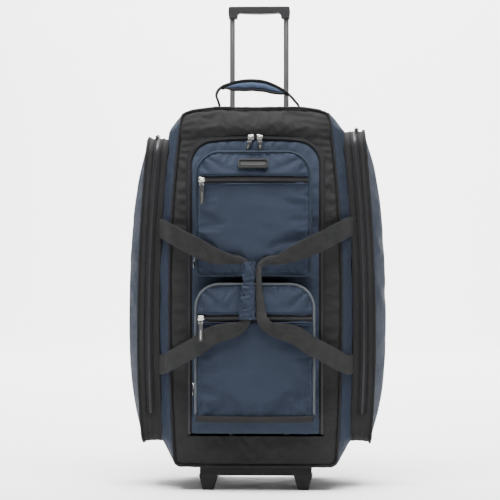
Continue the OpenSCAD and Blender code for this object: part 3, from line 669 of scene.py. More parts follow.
def run_along(name, lines, ups, material, pitch, size, tree=None):
    """Links or stitches along some lines, as one plain mesh: ups is the way out of the cloth."""
    verts, edges, up = [], [], []
    for line, u in zip(lines, ups):
        base = len(verts)
        verts += [tuple(p) for p in line]
        up += [tuple(q) for q in u]
        edges += [(base + i, base + i + 1) for i in range(len(line) - 1)]
    mesh = bpy.data.meshes.new(name + "_line")
    mesh.from_pydata(verts, edges, [])
    attribute = mesh.attributes.new("up", "FLOAT_VECTOR", "POINT")
    attribute.data.foreach_set("vector", np.asarray(up, np.float32).ravel())
    holder = bpy.data.objects.new(name + "_line", mesh)
    bpy.context.scene.collection.objects.link(holder)
    nodes = holder.modifiers.new("run", "NODES")
    nodes.node_group = tree or links_along_line
    for key, value in (("Pitch", pitch), ("Bar length", size[0]), ("Bar width", size[1]),
                       ("Bar height", size[2]), ("Material", material)):
        nodes[input_id(nodes.node_group, key)] = value
    bpy.context.view_layer.update()
    shaped = bpy.data.meshes.new_from_object(holder.evaluated_get(bpy.context.evaluated_depsgraph_get()))
    holder.modifiers.remove(nodes)
    bpy.data.objects.remove(holder)
    shaped.name = name
    piece = bpy.data.objects.new(name, shaped)
    bpy.context.scene.collection.objects.link(piece)
    return piece


zip_tape = woven("zip_tape", (0.012, 0.012, 0.013), 0.4, thread=0.0016, sheen=0.02, rough=0.65)
zip_coil, coil_tree, coil_shader = tree_of("zip_coil")
coil_noise = coil_tree.nodes.new("ShaderNodeTexNoise")
coil_place = coil_tree.nodes.new("ShaderNodeTexCoord")
coil_noise.inputs["Scale"].default_value = 300
coil_tree.links.new(coil_place.outputs["Object"], coil_noise.inputs["Vector"])
coil_tone = coil_tree.nodes.new("ShaderNodeMapRange")
coil_tone.inputs["To Min"].default_value, coil_tone.inputs["To Max"].default_value = 0.28, 0.5
coil_tree.links.new(coil_noise.outputs["Fac"], coil_tone.inputs["Value"])
coil_tree.links.new(coil_tone.outputs["Result"], coil_shader.inputs["Roughness"])
coil_shader.inputs["Base Color"].default_value = (0.022, 0.022, 0.024, 1)


def coil(name, line, ups, body="bag"):
    piece = run_along(name, [line], [ups], zip_coil, 0.0021, (0.0042, 0.0012, 0.0012))
    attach(piece, body)
    return piece


# The flap's zip runs up one side, over the top and down the other.
flap_line = evenly(flap_outline(0.0042), 0.006)
start = int(np.argmin(np.abs(flap_line[:, 0] - (flap_half + 0.0042)) + np.abs(flap_line[:, 1] - flap_low)))
flap_line = np.roll(flap_line, -start, 0)
flap_line = flap_line[: int(np.argmin(
    np.abs(flap_line[:, 0] + flap_half + 0.0042) + np.abs(flap_line[:, 1] - flap_low))) + 1]
flap_path = np.array([(x, front_y - 0.0002, z) for x, z in flap_line])
outwards = np.gradient(flap_line, axis=0)
flap_across = np.array([(dz, 0, -dx) for dx, dz in outwards])
flap_tape = tape("flap_zip_tape", flap_path, flap_across, 0.0115, zip_tape)
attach(flap_tape, "bag")
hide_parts("flap_zip")
coil("flap_zip_coil", flap_path - np.array((0, 0.0008, 0)), np.tile((0, -1, 0), (len(flap_path), 1)))

# ---------------------------------------------------------------- flap
# The flap is one sheet of blue nylon, sewn on below and zipped round its other three sides. It
# carries both front pockets, and the zip's gathers crumple it above them.

def flap_lift(x, z):
    edge = edge_distance(np.stack([x, z], 1), flap_outline())[0]
    rise = 0.0016 * np.clip(edge / 0.01, 0, 1)
    crushed = (np.sin(2 * math.pi * x / 0.024 + 2.4 * lumpy(np.stack([x, z * 2, z * 0], 1), 0.03, 23))
               * np.clip((z - 0.672) / 0.006, 0, 1))
    crushed = (crushed
               + 0.8 * np.sin(2 * math.pi * z / 0.034 + 3 * lumpy(np.stack([x, z, z * 0], 1), 0.05, 24))
               * np.clip((np.abs(x) - 0.112) / 0.004, 0, 1))
    fold = (0.001 * lumpy(np.stack([x, z, z * 0], 1), 0.03, 21)
            - 0.0012 * crushed * np.clip(edge / 0.006, 0, 1))
    return x, front_y + 0.0006 - rise + fold, z


flap_nylon = woven("flap_nylon", (0.0250, 0.0335, 0.0520), 0.30, relief=0.00016, sheen=0.012, rough=0.60)
flap_cloth, distance, along = cut_cloth("flap_cloth", flap_outline(-0.0005), flap_lift, flap_nylon,
                                        (0, -1, 0), step=0.0062)
pucker(flap_cloth, distance, along, height=0.0008, pitch=0.016, seed=22)
lined(flap_cloth, 0.0014)
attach(flap_cloth, "bag")
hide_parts("flap_panel")

# ---------------------------------------------------------------- front pockets
# Each front pocket is a blue band stood on the flap and a face sewn to it over piping. The face is
# in two parts, with a coil zip between them, and the band's left side has a zip of its own.

def pocket_outline(x0, half, low, high, r_low=0.010, r_high=0.047, grow=0.0):
    half, low, high = half + grow, low - grow, high + grow
    right = [(half - r_low + r_low * math.sin(a), low + r_low - r_low * math.cos(a))
             for a in np.linspace(0.2, math.pi / 2, 5)]
    right += [(half, z) for z in np.linspace(low + r_low + 0.02, high - r_high - 0.02, 12)]
    right += [(half - r_high + r_high * math.cos(a), high - r_high + r_high * math.sin(a))
              for a in np.linspace(0, math.pi / 2, 11)]
    return [(x0 + x, z) for x, z in right] + [(x0 - x, z) for x, z in reversed(right)]


def band(name, loop, start_y, end_y, material, seed, belly=0.0015, rows=9, crease=0.0012):
    """The band round a pocket: a closed strip from the flap out to the piping."""
    loop = evenly(loop, 0.0055)
    count = len(loop)
    tangent = np.roll(loop, -1, 0) - np.roll(loop, 1, 0)
    normal = np.stack([tangent[:, 1], -tangent[:, 0]], 1)
    normal /= np.linalg.norm(normal, axis=1, keepdims=True)
    if ((loop - loop.mean(0)) * normal).sum() < 0:
        normal = -normal
    verts, uv = [], []
    for k in range(rows):
        t = k / (rows - 1)
        y = start_y + (end_y - start_y) * t
        spread = belly * math.sin(math.pi * t)
        wave = lumpy(np.stack([loop[:, 0] * 1.6, loop[:, 1] * 1.6, loop[:, 0] * 0 + t * 0.02], 1),
                     0.03, seed)
        place = loop + normal * (spread + crease * wave * math.sin(math.pi * t))[:, None]
        verts += [(x, y, z) for x, z in place]
        uv += [(i * 0.0055, abs(y)) for i in range(count)]
    faces = ring_faces(rows, count)
    piece = mesh_piece(name, verts, faces, material, uv=uv)
    middle = loop.mean(0)
    f = faces[count // 3]
    a, b, c = (np.array(verts[v]) for v in f[:3])
    out = np.cross(b - a, c - a)
    if out[0] * (a[0] - middle[0]) + out[2] * (a[2] - middle[1]) < 0:
        piece.data.flip_normals()
    return lined(piece, 0.0015, 1)


def surface_reader(piece):
    """Reads a front face's Y at any X and Z, from its finished net."""
    net = BVHTree.FromObject(piece, bpy.context.evaluated_depsgraph_get())

    def read(x, z):
        hit = net.ray_cast(Vector((x, -0.4, z)), Vector((0, 1, 0)))
        return hit[0].y if hit[0] else None
    return read


slate_piping = woven("slate_piping", (0.012, 0.018, 0.029), 0.3, relief=0.0001, sheen=0.03, rough=0.62)
grey_piping = woven("grey_piping", (0.060, 0.068, 0.076), 0.3, relief=0.0001, sheen=0.04, rough=0.6)
thread = woven("sewing_thread", (0.036, 0.050, 0.080), 0.2, relief=0.00005, sheen=0.1, rough=0.6)
dark_thread = woven("dark_thread", (0.030, 0.030, 0.031), 0.2, relief=0.00005, sheen=0.1, rough=0.6)


def stitches(name, lines, ups, material, body, pitch=0.0036):
    """Lock stitches: short raised threads, one behind the other."""
    piece = run_along(name, lines, ups, material, pitch, (0.0007, 0.0024, 0.0007))
    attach(piece, body)
    return piece


def front_pocket(label, x0, half, low, high, zip_z, seed, belly, patch):
    loop = pocket_outline(x0, half, low, high)
    band_y, face_y = front_y - 0.0005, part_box(label + "_pocket_face")[1].y
    wall = band(label + "_pocket_band", loop, band_y, face_y, slate_nylon, seed)
    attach(wall, "bag")
    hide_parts(label + "_pocket_gusset")
    rim = np.array(loop)

    def lift(x, z):
        edge = edge_distance(np.stack([x, z], 1), rim)[0]
        rise = belly * np.sin(np.clip(edge / 0.050, 0, 1) * math.pi / 2) ** 0.8
        ridge = (0.0013 * np.exp(-((z - zip_z - 0.0120) / 0.0035) ** 2)
                 + 0.0013 * np.exp(-((z - zip_z + 0.0120) / 0.0035) ** 2))
        dent = 0.0020 * np.exp(-((z - zip_z) / 0.008) ** 4)
        fade = np.clip(edge / 0.010, 0, 1)
        wrinkle = 0.0014 * lumpy(np.stack([x * 0.6, z * 1.5, z * 0], 1), 0.035, seed)
        above = np.clip((z - zip_z - 0.010) / 0.010, 0, 1)
        if patch:
            above = above * (1 - 0.75 * np.exp(-((x - x0) / 0.040) ** 4))
        wrinkle = wrinkle + above * fans(x, z, [(x0 - half, high, 1, -1), (x0 + half, high, -1, -1)],
                                         0.0026, 0.085, 11.0, seed * 0.37)
        below = np.clip((zip_z - 0.012 - z) / 0.015, 0, 1)
        wrinkle = wrinkle + below * fans(x, z, [(x0 + half, low, -1, 1), (x0 - half, low, 1, 1)],
                                         0.0016, 0.075, 9.0, seed * 0.61)
        return x, face_y - rise - (ridge - dent + wrinkle) * fade, z

    face, distance, along = cut_cloth(label + "_pocket_front", rim, lift, slate_nylon, (0, -1, 0),
                                      step=0.0052)
    swell(face, distance, 2.2, 0.022, 0.0045, bending=0.35)
    pucker(face, distance, along, height=0.0013, pitch=0.015, reach=0.016, seed=seed + 1)
    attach(lined(face), "bag")
    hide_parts(label + "_pocket_face")
    read = surface_reader(face)

    # The inner seam cord is a raised cord of dark cloth. On the lower pocket, its darkness inside the grey
    # piping is also painted shade: the shade line in the seam's groove.
    for name, y, r, grow, cloth, slot in (
            ("front", face_y - 0.0006, 0.0025, 0.0004, slate_piping if patch else grey_piping,
             "navy_nylon"),
            ("seam", face_y - 0.0010, 0.0015, -0.0034, slate_piping, "navy_nylon"),
            ("foot", front_y - 0.0020, 0.0014, 0.0010, slate_piping, "navy_nylon")):
        line = evenly(pocket_outline(x0, half, low, high, grow=grow), 0.005)
        open_below = not patch and name == "front"
        if open_below:
            start = int(np.argmin(np.abs(line[:, 1] - low - 0.016) + np.abs(line[:, 0] - x0 - half)))
            line = np.roll(line, -start, 0)
            line = line[: 1 + int(np.argmin(np.abs(line[:, 1] - low - 0.016)
                                            + np.abs(line[:, 0] - x0 + half)))]
        cord = tube(label + "_pocket_" + name + "_piping", [(x, y, z) for x, z in line], r, cloth,
                    closed=not open_below, wobble=0.35)
        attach(cord, "bag")

    # the face's zip, with a welt of the blue cloth folded back over each edge of its tape
    xs = np.linspace(x0 - half + 0.0035, x0 + half - 0.0035, 70)
    ys = np.array([read(x, zip_z) or face_y for x in xs])
    ys = np.convolve(np.pad(ys, 3, mode="edge"), np.ones(7) / 7, "valid") - 0.0009
    path = np.stack([xs, ys, xs * 0 + zip_z], 1)
    across = np.tile((0, 0, 1), (len(xs), 1))
    strip = tape(label + "_pocket_zip_tape", path, across, 0.0170, zip_tape)
    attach(strip, "bag")
    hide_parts(label + "_pocket_zip")
    coil(label + "_pocket_zip_coil", path - np.array((0, 0.0011, 0)), np.tile((0, -1, 0), (len(xs), 1)))
    seams, ups = [], []
    for shift, fat in ((0.0088, 0.0015), (-0.0088, 0.0016)):
        line = np.array([(x, min(read(x, zip_z + shift * 1.3) or y, y) - 0.0001,
                          zip_z + shift + 0.0005 * noise.noise(Vector((x * 40, shift * 900, seed))))
                         for x, y in zip(xs, ys)])
        welt = tube(label + ("_upper" if shift > 0 else "_lower") + "_welt", line, fat, slate_nylon,
                    closed=False, flatten=0.55, wobble=0.25)
        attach(welt, "bag")
        z = zip_z + shift * 1.42
        seams.append([(x, (read(x, z) or y) - 0.0004, z) for x, y in zip(xs[2:-2], ys[2:-2])])
        ups.append([(0, -1, 0)] * (len(xs) - 4))
    # a row of stitches just inside the piping
    inner = evenly(pocket_outline(x0, half, low, high, grow=-0.0065), 0.005)
    ring = [(x, (read(x, z) or face_y) - 0.0004, z) for x, z in inner]
    seams.append(ring + ring[:1])
    ups.append([(0, -1, 0)] * (len(ring) + 1))
    stitches(label + "_pocket_stitches", seams, ups, thread, "bag")

    if not patch:
        # a strip of the black cloth lies along the lower pocket's foot
        xs_foot = np.linspace(x0 - half + 0.001, x0 + half - 0.001, 60)
        sag = 0.0020 * np.abs((xs_foot - x0) / half) ** 3
        ys_foot = np.array([min(read(x, low + rise) or face_y for rise in (0.002, 0.005, 0.008, 0.012))
                            for x in xs_foot])
        ys_foot = np.array([ys_foot[max(0, i - 3): i + 4].min() for i in range(60)])
        ys_foot = np.convolve(np.pad(ys_foot, 3, mode="edge"), np.ones(7) / 7, "valid") - 0.0016
        foot_path = np.stack([xs_foot, ys_foot, low + 0.0062 + sag], 1)
        foot_across = np.tile((0, -0.12, 1), (60, 1))
        foot_strip = tape(label + "_pocket_foot_binding", foot_path, foot_across, 0.0128, black_polyester,
                          thickness=0.0022)
        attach(foot_strip, "bag")

    # the zip in the band's left side, at half the pocket's depth
    side_x = x0 - half - 0.0022
    zs = np.linspace(low + 0.014, high - 0.050, 40)
    mid_y = (band_y + face_y) / 2
    side_path = np.stack([zs * 0 + side_x, zs * 0 + mid_y, zs], 1)
    side_tape = tape(label + "_side_zip_tape", side_path, np.tile((0, 1, 0), (40, 1)), 0.013, zip_tape)
    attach(side_tape, "bag")
    coil(label + "_side_zip_coil", side_path - np.array((0.0008, 0, 0)), np.tile((-1, 0, 0), (40, 1)))

    if patch:
        low_p, high_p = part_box("label_patch")
        plate = bmesh.new()
        cx, cz = (low_p.x + high_p.x) / 2, (low_p.z + high_p.z) / 2
        hw, hh, r = (high_p.x - low_p.x) / 2, (high_p.z - low_p.z) / 2, 0.003
        ring_points = [(cx + sx * (hw - r) + r * math.cos(a), cz + sz * (hh - r) + r * math.sin(a))
                       for sx, sz, a0 in ((1, 1, 0), (-1, 1, 90), (-1, -1, 180), (1, -1, 270))
                       for a in np.radians(np.linspace(a0, a0 + 90, 5))]
        rows = [(0.0, -0.0030), (0.0, 0.0010), (0.0008, 0.0016), (0.0022, 0.0016), (0.0028, 0.0012),
                (0.005, 0.0012)]
        spots = [(x, z) for x in np.linspace(cx - hw, cx + hw, 25)
                 for z in np.linspace(cz - hh, cz + hh, 9)]
        lean = ((read(cx, cz + hh) or face_y) - (read(cx, cz - hh) or face_y)) / (2 * hh)
        front = min((read(x, z) or face_y) - lean * (z - cz) for x, z in spots) - 0.0012
        loops = []
        for inset, rise in rows:
            loops.append([plate.verts.new((x0p - math.copysign(min(inset, abs(x0p - cx)), x0p - cx),
                                           front + lean * (z0p - cz) - rise,
                                           z0p - math.copysign(min(inset, abs(z0p - cz)), z0p - cz)))
                          for x0p, z0p in ring_points])
        for a, b in zip(loops, loops[1:]):
            for i in range(len(a)):
                j = (i + 1) % len(a)
                plate.faces.new((a[i], a[j], b[j], b[i]))
        plate.faces.new(loops[-1])
        plate.faces.new(loops[0][::-1])
        bmesh.ops.recalc_face_normals(plate, faces=plate.faces)
        mesh = bpy.data.meshes.new("blank_patch")
        plate.to_mesh(mesh)
        plate.free()
        patch_piece = bpy.data.objects.new("blank_patch", mesh)
        bpy.context.scene.collection.objects.link(patch_piece)
        rubber, rubber_tree, rubber_shader = tree_of("patch_rubber")
        grain, at = rubber_tree.nodes.new("ShaderNodeTexNoise"), rubber_tree.nodes.new("ShaderNodeTexCoord")
        grain.inputs["Scale"].default_value = 900
        rubber_tree.links.new(at.outputs["Object"], grain.inputs["Vector"])
        dent = rubber_tree.nodes.new("ShaderNodeBump")
        dent.inputs["Distance"].default_value = 0.0002
        rubber_tree.links.new(grain.outputs["Fac"], dent.inputs["Height"])
        rubber_tree.links.new(dent.outputs[0], rubber_shader.inputs["Normal"])
        rubber_shader.inputs["Base Color"].default_value = (0.0055, 0.0056, 0.0060, 1)
        rubber_shader.inputs["Roughness"].default_value = 0.55
        rubber_shader.inputs["Specular IOR Level"].default_value = 0.2
        mesh.materials.append(rubber)
        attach(patch_piece, "bag")
        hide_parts("label_patch")
        ring = [(cx + (x - cx) * 0.955, front + lean * (z - cz) - 0.0017, cz + (z - cz) * 0.84)
                for x, z in ring_points]
        stitches("patch_stitches", [ring + ring[:1]], [[(0, -1, 0)] * (len(ring) + 1)],
                 dark_thread, "bag", 0.003)


upper_low, upper_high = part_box("upper_pocket_face")
lower_low, lower_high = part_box("lower_pocket_face")
upper_zip_z, lower_zip_z = 0.621, 0.347
front_pocket("upper", (upper_low.x + upper_high.x) / 2, (upper_high.x - upper_low.x) / 2,
             upper_low.z, upper_high.z, upper_zip_z, seed=31, belly=0.0078, patch=True)
front_pocket("lower", (lower_low.x + lower_high.x) / 2, (lower_high.x - lower_low.x) / 2,
             lower_low.z, lower_high.z, lower_zip_z, seed=41, belly=0.0092, patch=False)

# ---------------------------------------------------------------- side pockets
# The side pockets are long bellied pockets: a black band with a zip round it stands off the blue
# gusset, and a blue outer face is sewn to it over piping and bellies out.

def edge_line(z):
    z = np.asarray(z, float)
    return np.where(z > 0.3, 0.239 - 0.022 * ((z - 0.3) / 0.424) ** 2,
                    0.239 - 0.009 * ((0.3 - z) / 0.202) ** 2)


def side_cut(low, high, y0, y1, grow=0.0):
    r0, r1 = 0.030 + grow, 0.034 + grow
    y0, y1, low, high = y0 - grow, y1 + grow, low - grow, high + grow
    loop = [(y1 - r0 + r0 * math.cos(a), low + r0 + r0 * math.sin(a))
            for a in np.linspace(-math.pi / 2, 0, 8)]
    loop += [(y1, z) for z in np.linspace(low + r0 + 0.02, high - r1 - 0.02, 30)]
    loop += [(y1 - r1 + r1 * math.cos(a), high - r1 + r1 * math.sin(a))
             for a in np.linspace(0, math.pi / 2, 8)]
    loop += [(y0 + r1 - r1 * math.sin(a), high - r1 + r1 * math.cos(a))
             for a in np.linspace(0, math.pi / 2, 8)]
    loop += [(y0, z) for z in np.linspace(high - r1 - 0.02, low + r0 + 0.02, 30)]
    loop += [(y0 + r0 - r0 * math.cos(a), low + r0 - r0 * math.sin(a))
             for a in np.linspace(0, math.pi / 2, 8)]
    return loop


for side, label in ((-1, "left"), (1, "right")):
    low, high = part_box(label + "_side_pocket_gusset")
    y0, y1, z0, z1 = low.y, high.y, low.z - 0.006, high.z
    loop = evenly(side_cut(z0, z1, y0, y1), 0.007)
    count = len(loop)
    middle = loop.mean(0)
    tangent = np.roll(loop, -1, 0) - np.roll(loop, 1, 0)
    normal = np.stack([tangent[:, 1], -tangent[:, 0]], 1)
    normal /= np.linalg.norm(normal, axis=1, keepdims=True)
    if ((loop - middle) * normal).sum() < 0:
        normal = -normal
    share = fullness(loop[:, 0])
    root = seam_half(loop[:, 1]) + share * (side_half(loop[:, 1]) - seam_half(loop[:, 1])) - 0.004
    tip = edge_line(loop[:, 1])
    rows = 13
    verts, uv = [], []
    for k in range(rows):
        t = k / (rows - 1)
        x = root + (tip - root) * t
        wave = lumpy(np.stack([loop[:, 0], loop[:, 1], loop[:, 0] * 0 + t * 0.03], 1), 0.022, 50 + side)
        pull = (-0.0022 * math.sin(math.pi * t) + 0.0009 * wave * math.sin(math.pi * t)
                + 0.0007 * math.sin(2 * math.pi * t * 4))
        place = loop + normal * np.asarray(pull)[:, None]
        verts += [(side * px, y, z) for px, (y, z) in zip(x, place)]
        uv += [(i * 0.007, t * 0.05) for i in range(count)]
    faces = ring_faces(rows, count)
    wall = mesh_piece(label + "_side_pocket_band", verts, faces, black_polyester, uv=uv)
    f = faces[count // 3]
    a, b, c = (np.array(verts[v]) for v in f[:3])
    out = np.cross(b - a, c - a)
    if out[1] * (a[1] - middle[0]) + out[2] * (a[2] - middle[1]) < 0:
        wall.data.flip_normals()
    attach(lined(wall, 0.0015, 1), "bag")
    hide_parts(label + "_side_pocket_gusset")

    # zip round the band, nearer to its piping, from low on the front to low on the back
    first = int(np.argmin(np.abs(loop[:, 0] - y0) + np.abs(loop[:, 1] - z0 - 0.06)))
    ordered = np.roll(np.arange(count), -first)
    z_run = loop[ordered, 1]
    stop = int(np.argmin(np.abs(loop[ordered, 0] - y1) + np.abs(z_run - z0 - 0.06)))
    keep = (ordered[: stop + 1] if loop[ordered[5], 1] > loop[ordered[0], 1]
            else np.concatenate([ordered[:1], ordered[stop:][::-1]]))
    zip_x = root + (tip - root) * 0.56
    path = np.array([(side * zip_x[i], loop[i, 0] - normal[i, 0] * 0.0011,
                      loop[i, 1] - normal[i, 1] * 0.0011)
                     for i in keep])
    ups = np.array([(0, normal[i, 0], normal[i, 1]) for i in keep])
    across = np.tile((1.0, 0, 0), (len(path), 1))
    strip = tape(label + "_side_pocket_zip_tape", path, across, 0.016, zip_tape)
    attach(strip, "bag")
    coil(label + "_side_pocket_zip_coil", path + ups * 0.0009, ups)
    for edge in (-0.0086, 0.0086):
        welt = tube("%s_side_welt_%s" % (label, "in" if edge < 0 else "out"),
                    path + np.array((side * edge, 0, 0)) + ups * 0.0004,
                    0.0017, black_piping, closed=False, flatten=0.6, wobble=0.3)
        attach(welt, "bag")

    span_mid, span_half = (z0 + z1) / 2, (z1 - z0) / 2
    rim = side_cut(z0, z1, y0, y1)

    def lift(y, z, side=side, rim=rim, span_mid=span_mid, span_half=span_half):
        edge = edge_distance(np.stack([y, z], 1), rim)[0]
        full = 0.0235 * (1 - np.clip(np.abs(z - span_mid) / span_half, 0, 1) ** 3.5)
        rise = full * np.sin(np.clip(edge / 0.075, 0, 1) * math.pi / 2) ** 0.85
        wrinkle = (0.0007 * lumpy(np.stack([y * 0.7, z * 1.1, y * 0], 1), 0.055, 60 + side)
                   * np.clip(edge / 0.02, 0, 1))
        return side * (edge_line(z) + 0.0005 + rise + wrinkle), y, z

    face, distance, along = cut_cloth(label + "_side_pocket_front", rim, lift, slate_nylon, (side, 0, 0),
                                      step=0.0072)
    swell(face, distance, 1.6, 0.010, 0.0016, bending=3.0)
    pucker(face, distance, along, height=0.0013, pitch=0.018, reach=0.014, seed=62 + side)
    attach(lined(face), "bag")
    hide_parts(label + "_side_pocket_face")
    line = evenly(side_cut(z0, z1, y0, y1, grow=0.0006), 0.006)
    cord = tube(label + "_side_pocket_piping",
                [(side * (float(edge_line(z)) + 0.0004), y, z) for y, z in line],
                0.0028, black_piping, wobble=0.3)
    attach(cord, "bag")
    inner = evenly(side_cut(z0, z1, y0, y1, grow=0.0012), 0.006)
    root_line = [(side * (float(seam_half(z) + fullness(y) * (side_half(z) - seam_half(z))) + 0.0006), y, z)
                 for y, z in inner]
    foot = tube(label + "_side_pocket_foot_piping", root_line, 0.0022, black_piping, wobble=0.3)
    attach(foot, "bag")

# ---------------------------------------------------------------- carry straps and wrap
# Each strap is one length of ribbed webbing, sewn into the side seam above and below. It is folded
# in half where the two straps meet, and a creased blue wrap is closed round the left one.

def webbing(name, colour, rib=0.0021):
    material, tree, shader = tree_of(name)
    uv = tree.nodes.new("ShaderNodeUVMap")
    uv.uv_map = "cloth"
    split = tree.nodes.new("ShaderNodeSeparateXYZ")
    tree.links.new(uv.outputs[0], split.inputs[0])
    heights = []
    for axis, pitch in (("X", rib), ("Y", rib * 2.2)):
        turn = tree.nodes.new("ShaderNodeMath")
        turn.operation = "MULTIPLY"
        tree.links.new(split.outputs[axis], turn.inputs[0])
        turn.inputs[1].default_value = 2 * math.pi / pitch
        wave = tree.nodes.new("ShaderNodeMath")
        wave.operation = "SINE"
        tree.links.new(turn.outputs[0], wave.inputs[0])
        heights.append(wave)
    total = tree.nodes.new("ShaderNodeMath")
    total.operation = "MULTIPLY_ADD"
    tree.links.new(heights[0].outputs[0], total.inputs[0])
    total.inputs[1].default_value = 1.0
    part = tree.nodes.new("ShaderNodeMath")
    part.operation = "MULTIPLY"
    part.inputs[1].default_value = 0.6
    tree.links.new(heights[1].outputs[0], part.inputs[0])
    tree.links.new(part.outputs[0], total.inputs[2])
    at = tree.nodes.new("ShaderNodeTexCoord")
    fuzz = tree.nodes.new("ShaderNodeTexNoise")
    fuzz.inputs["Scale"].default_value = 60
    fuzz.inputs["Detail"].default_value = 5
    tree.links.new(at.outputs["Object"], fuzz.inputs["Vector"])
    tone = tree.nodes.new("ShaderNodeMapRange")
    tone.inputs["From Min"].default_value, tone.inputs["From Max"].default_value = 0.3, 0.7
    tone.inputs["To Min"].default_value, tone.inputs["To Max"].default_value = 0.75, 1.3
    tree.links.new(fuzz.outputs["Fac"], tone.inputs["Value"])
    tint = tree.nodes.new("ShaderNodeVectorMath")
    tint.operation = "SCALE"
    tint.inputs[0].default_value = colour
    tree.links.new(tone.outputs["Result"], tint.inputs["Scale"])
    tree.links.new(tint.outputs[0], shader.inputs["Base Color"])
    bump = tree.nodes.new("ShaderNodeBump")
    bump.inputs["Distance"].default_value = 0.00022
    bump.inputs["Strength"].default_value = 0.9
    tree.links.new(total.outputs[0], bump.inputs["Height"])
    tree.links.new(bump.outputs[0], shader.inputs["Normal"])
    shader.inputs["Roughness"].default_value = 0.62
    shader.inputs["Sheen Weight"].default_value = 0.02
    shader.inputs["Specular IOR Level"].default_value = 0.15
    return material


def smooth_path(points, count):
    """A curve through the given rows (any number of columns), with count places along it."""
    p = np.asarray(points, float)
    run = np.concatenate([[0], np.cumsum(np.linalg.norm(np.diff(p[:, :3], axis=0), axis=1))])
    at = np.linspace(0, run[-1], count)
    slope = np.gradient(p, run, axis=0)
    place = np.clip(np.searchsorted(run, at, side="right") - 1, 0, len(p) - 2)
    h = (run[place + 1] - run[place])[:, None]
    t = ((at - run[place]) / h[:, 0])[:, None]
    return ((2 * t ** 3 - 3 * t ** 2 + 1) * p[place] + (t ** 3 - 2 * t ** 2 + t) * h * slope[place]
            + (-2 * t ** 3 + 3 * t ** 2) * p[place + 1] + (t ** 3 - t ** 2) * h * slope[place + 1])


def strap_piece(name, rows, normals, material, thickness=0.002, cup=0.0, sides=9):
    """Webbing along a path: rows hold X, Y, Z and half width, normals the outward direction."""
    rows, normals = np.asarray(rows, float), np.asarray(normals, float)
    path, half = rows[:, :3], rows[:, 3]
    step = np.gradient(path, axis=0)
    step /= np.linalg.norm(step, axis=1, keepdims=True)
    normals = normals - step * (normals * step).sum(1, keepdims=True)
    normals /= np.linalg.norm(normals, axis=1, keepdims=True)
    wide = np.cross(step, normals)
    cups = np.broadcast_to(np.asarray(cup, float), (len(path),))
    run = np.concatenate([[0], np.cumsum(np.linalg.norm(np.diff(path, axis=0), axis=1))])
    verts, uv = [], []
    for i in range(len(path)):
        for k in range(sides):
            f = 2 * k / (sides - 1) - 1
            verts.append(path[i] + wide[i] * half[i] * f - normals[i] * cups[i] * f * f)
            uv.append((run[i], half[i] * f))
    faces = [(i * sides + k, i * sides + k + 1, (i + 1) * sides + k + 1, (i + 1) * sides + k)
             for i in range(len(path) - 1) for k in range(sides - 1)]
    piece = mesh_piece(name, verts, faces, material, uv=uv)
    a, b, c = (np.array(verts[v]) for v in faces[len(faces) // 2][:3])
    if np.cross(b - a, c - a) @ normals[len(path) // 2] < 0:
        piece.data.flip_normals()
    wall = piece.modifiers.new("web_thickness", "SOLIDIFY")
    wall.thickness = thickness
    wall.offset = 0
    edge = piece.modifiers.new("web_edge", "BEVEL")
    edge.width = 0.0004
    edge.segments = 2
    edge.limit_method = "ANGLE"
    return piece


black_webbing = webbing("black_webbing", (0.0115, 0.0115, 0.0120))
left_route = [(-0.195, -0.075, 0.524, 0.0200), (-0.1885, -0.094, 0.5245, 0.0198),
              (-0.177, -0.119, 0.5185, 0.0196), (-0.148, -0.143, 0.503, 0.0192),
              (-0.113, -0.1655, 0.486, 0.0190), (-0.077, -0.1715, 0.470, 0.0160),
              (-0.048, -0.1735, 0.4635, 0.0100), (-0.026, -0.1735, 0.461, 0.0075),
              (-0.0145, -0.1735, 0.452, 0.0080), (-0.0125, -0.1738, 0.436, 0.0085),
              (-0.0125, -0.1738, 0.400, 0.0085), (-0.013, -0.1738, 0.362, 0.0085),
              (-0.0165, -0.1735, 0.342, 0.0090), (-0.030, -0.1735, 0.3275, 0.0122),
              (-0.050, -0.1735, 0.3225, 0.0165), (-0.077, -0.1715, 0.3155, 0.0180),
              (-0.113, -0.1655, 0.2925, 0.0190), (-0.148, -0.143, 0.2735, 0.0192),
              (-0.177, -0.119, 0.2565, 0.0196), (-0.1885, -0.094, 0.2515, 0.0198),
              (-0.195, -0.075, 0.252, 0.0200)]
right_route = [(-x, y, z + (0.004 if z > 0.44 and x < -0.05 else 0), w) for x, y, z, w in left_route]
right_route[7:14] = [(0.0235, -0.1735, 0.4600, 0.0075), (0.0105, -0.1735, 0.4500, 0.0058),
                     (0.0088, -0.1738, 0.4340, 0.0056), (0.0098, -0.1738, 0.4000, 0.0066),
                     (0.0128, -0.1738, 0.3640, 0.0094), (0.0165, -0.1735, 0.3430, 0.0110),
                     (0.0300, -0.1735, 0.3290, 0.0120)]
for label, route in (("left", left_route), ("right", right_route)):
    rows = smooth_path(route, 150)
    rows[:, 2] += 0.0012 * np.array([noise.noise(Vector((p[0] * 25, p[2] * 25, 3.3))) for p in rows])
    step = np.gradient(rows[:, :3], axis=0)
    out = np.stack([step[:, 1], -step[:, 0], step[:, 2] * 0], 1)
    flat_part = np.linalg.norm(step[:, :2], axis=1) < 0.25 * np.linalg.norm(step, axis=1)
    out[out[:, 1] > 0] *= -1
    out[flat_part] = (0, -1, 0)
    out /= np.maximum(np.linalg.norm(out, axis=1, keepdims=True), 1e-9)
    kernel = np.ones(9) / 9
    out = np.stack([np.convolve(np.pad(out[:, k], 4, mode="edge"), kernel, "valid") for k in range(3)], 1)
    cup = np.interp(rows[:, 3], [0.009, 0.017], [0.0016, 0.0006])
    strap = strap_piece(label + "_strap_web", rows, out, black_webbing, cup=cup)
    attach(strap, label + "_strap")
    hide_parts(label + "_carry_strap")

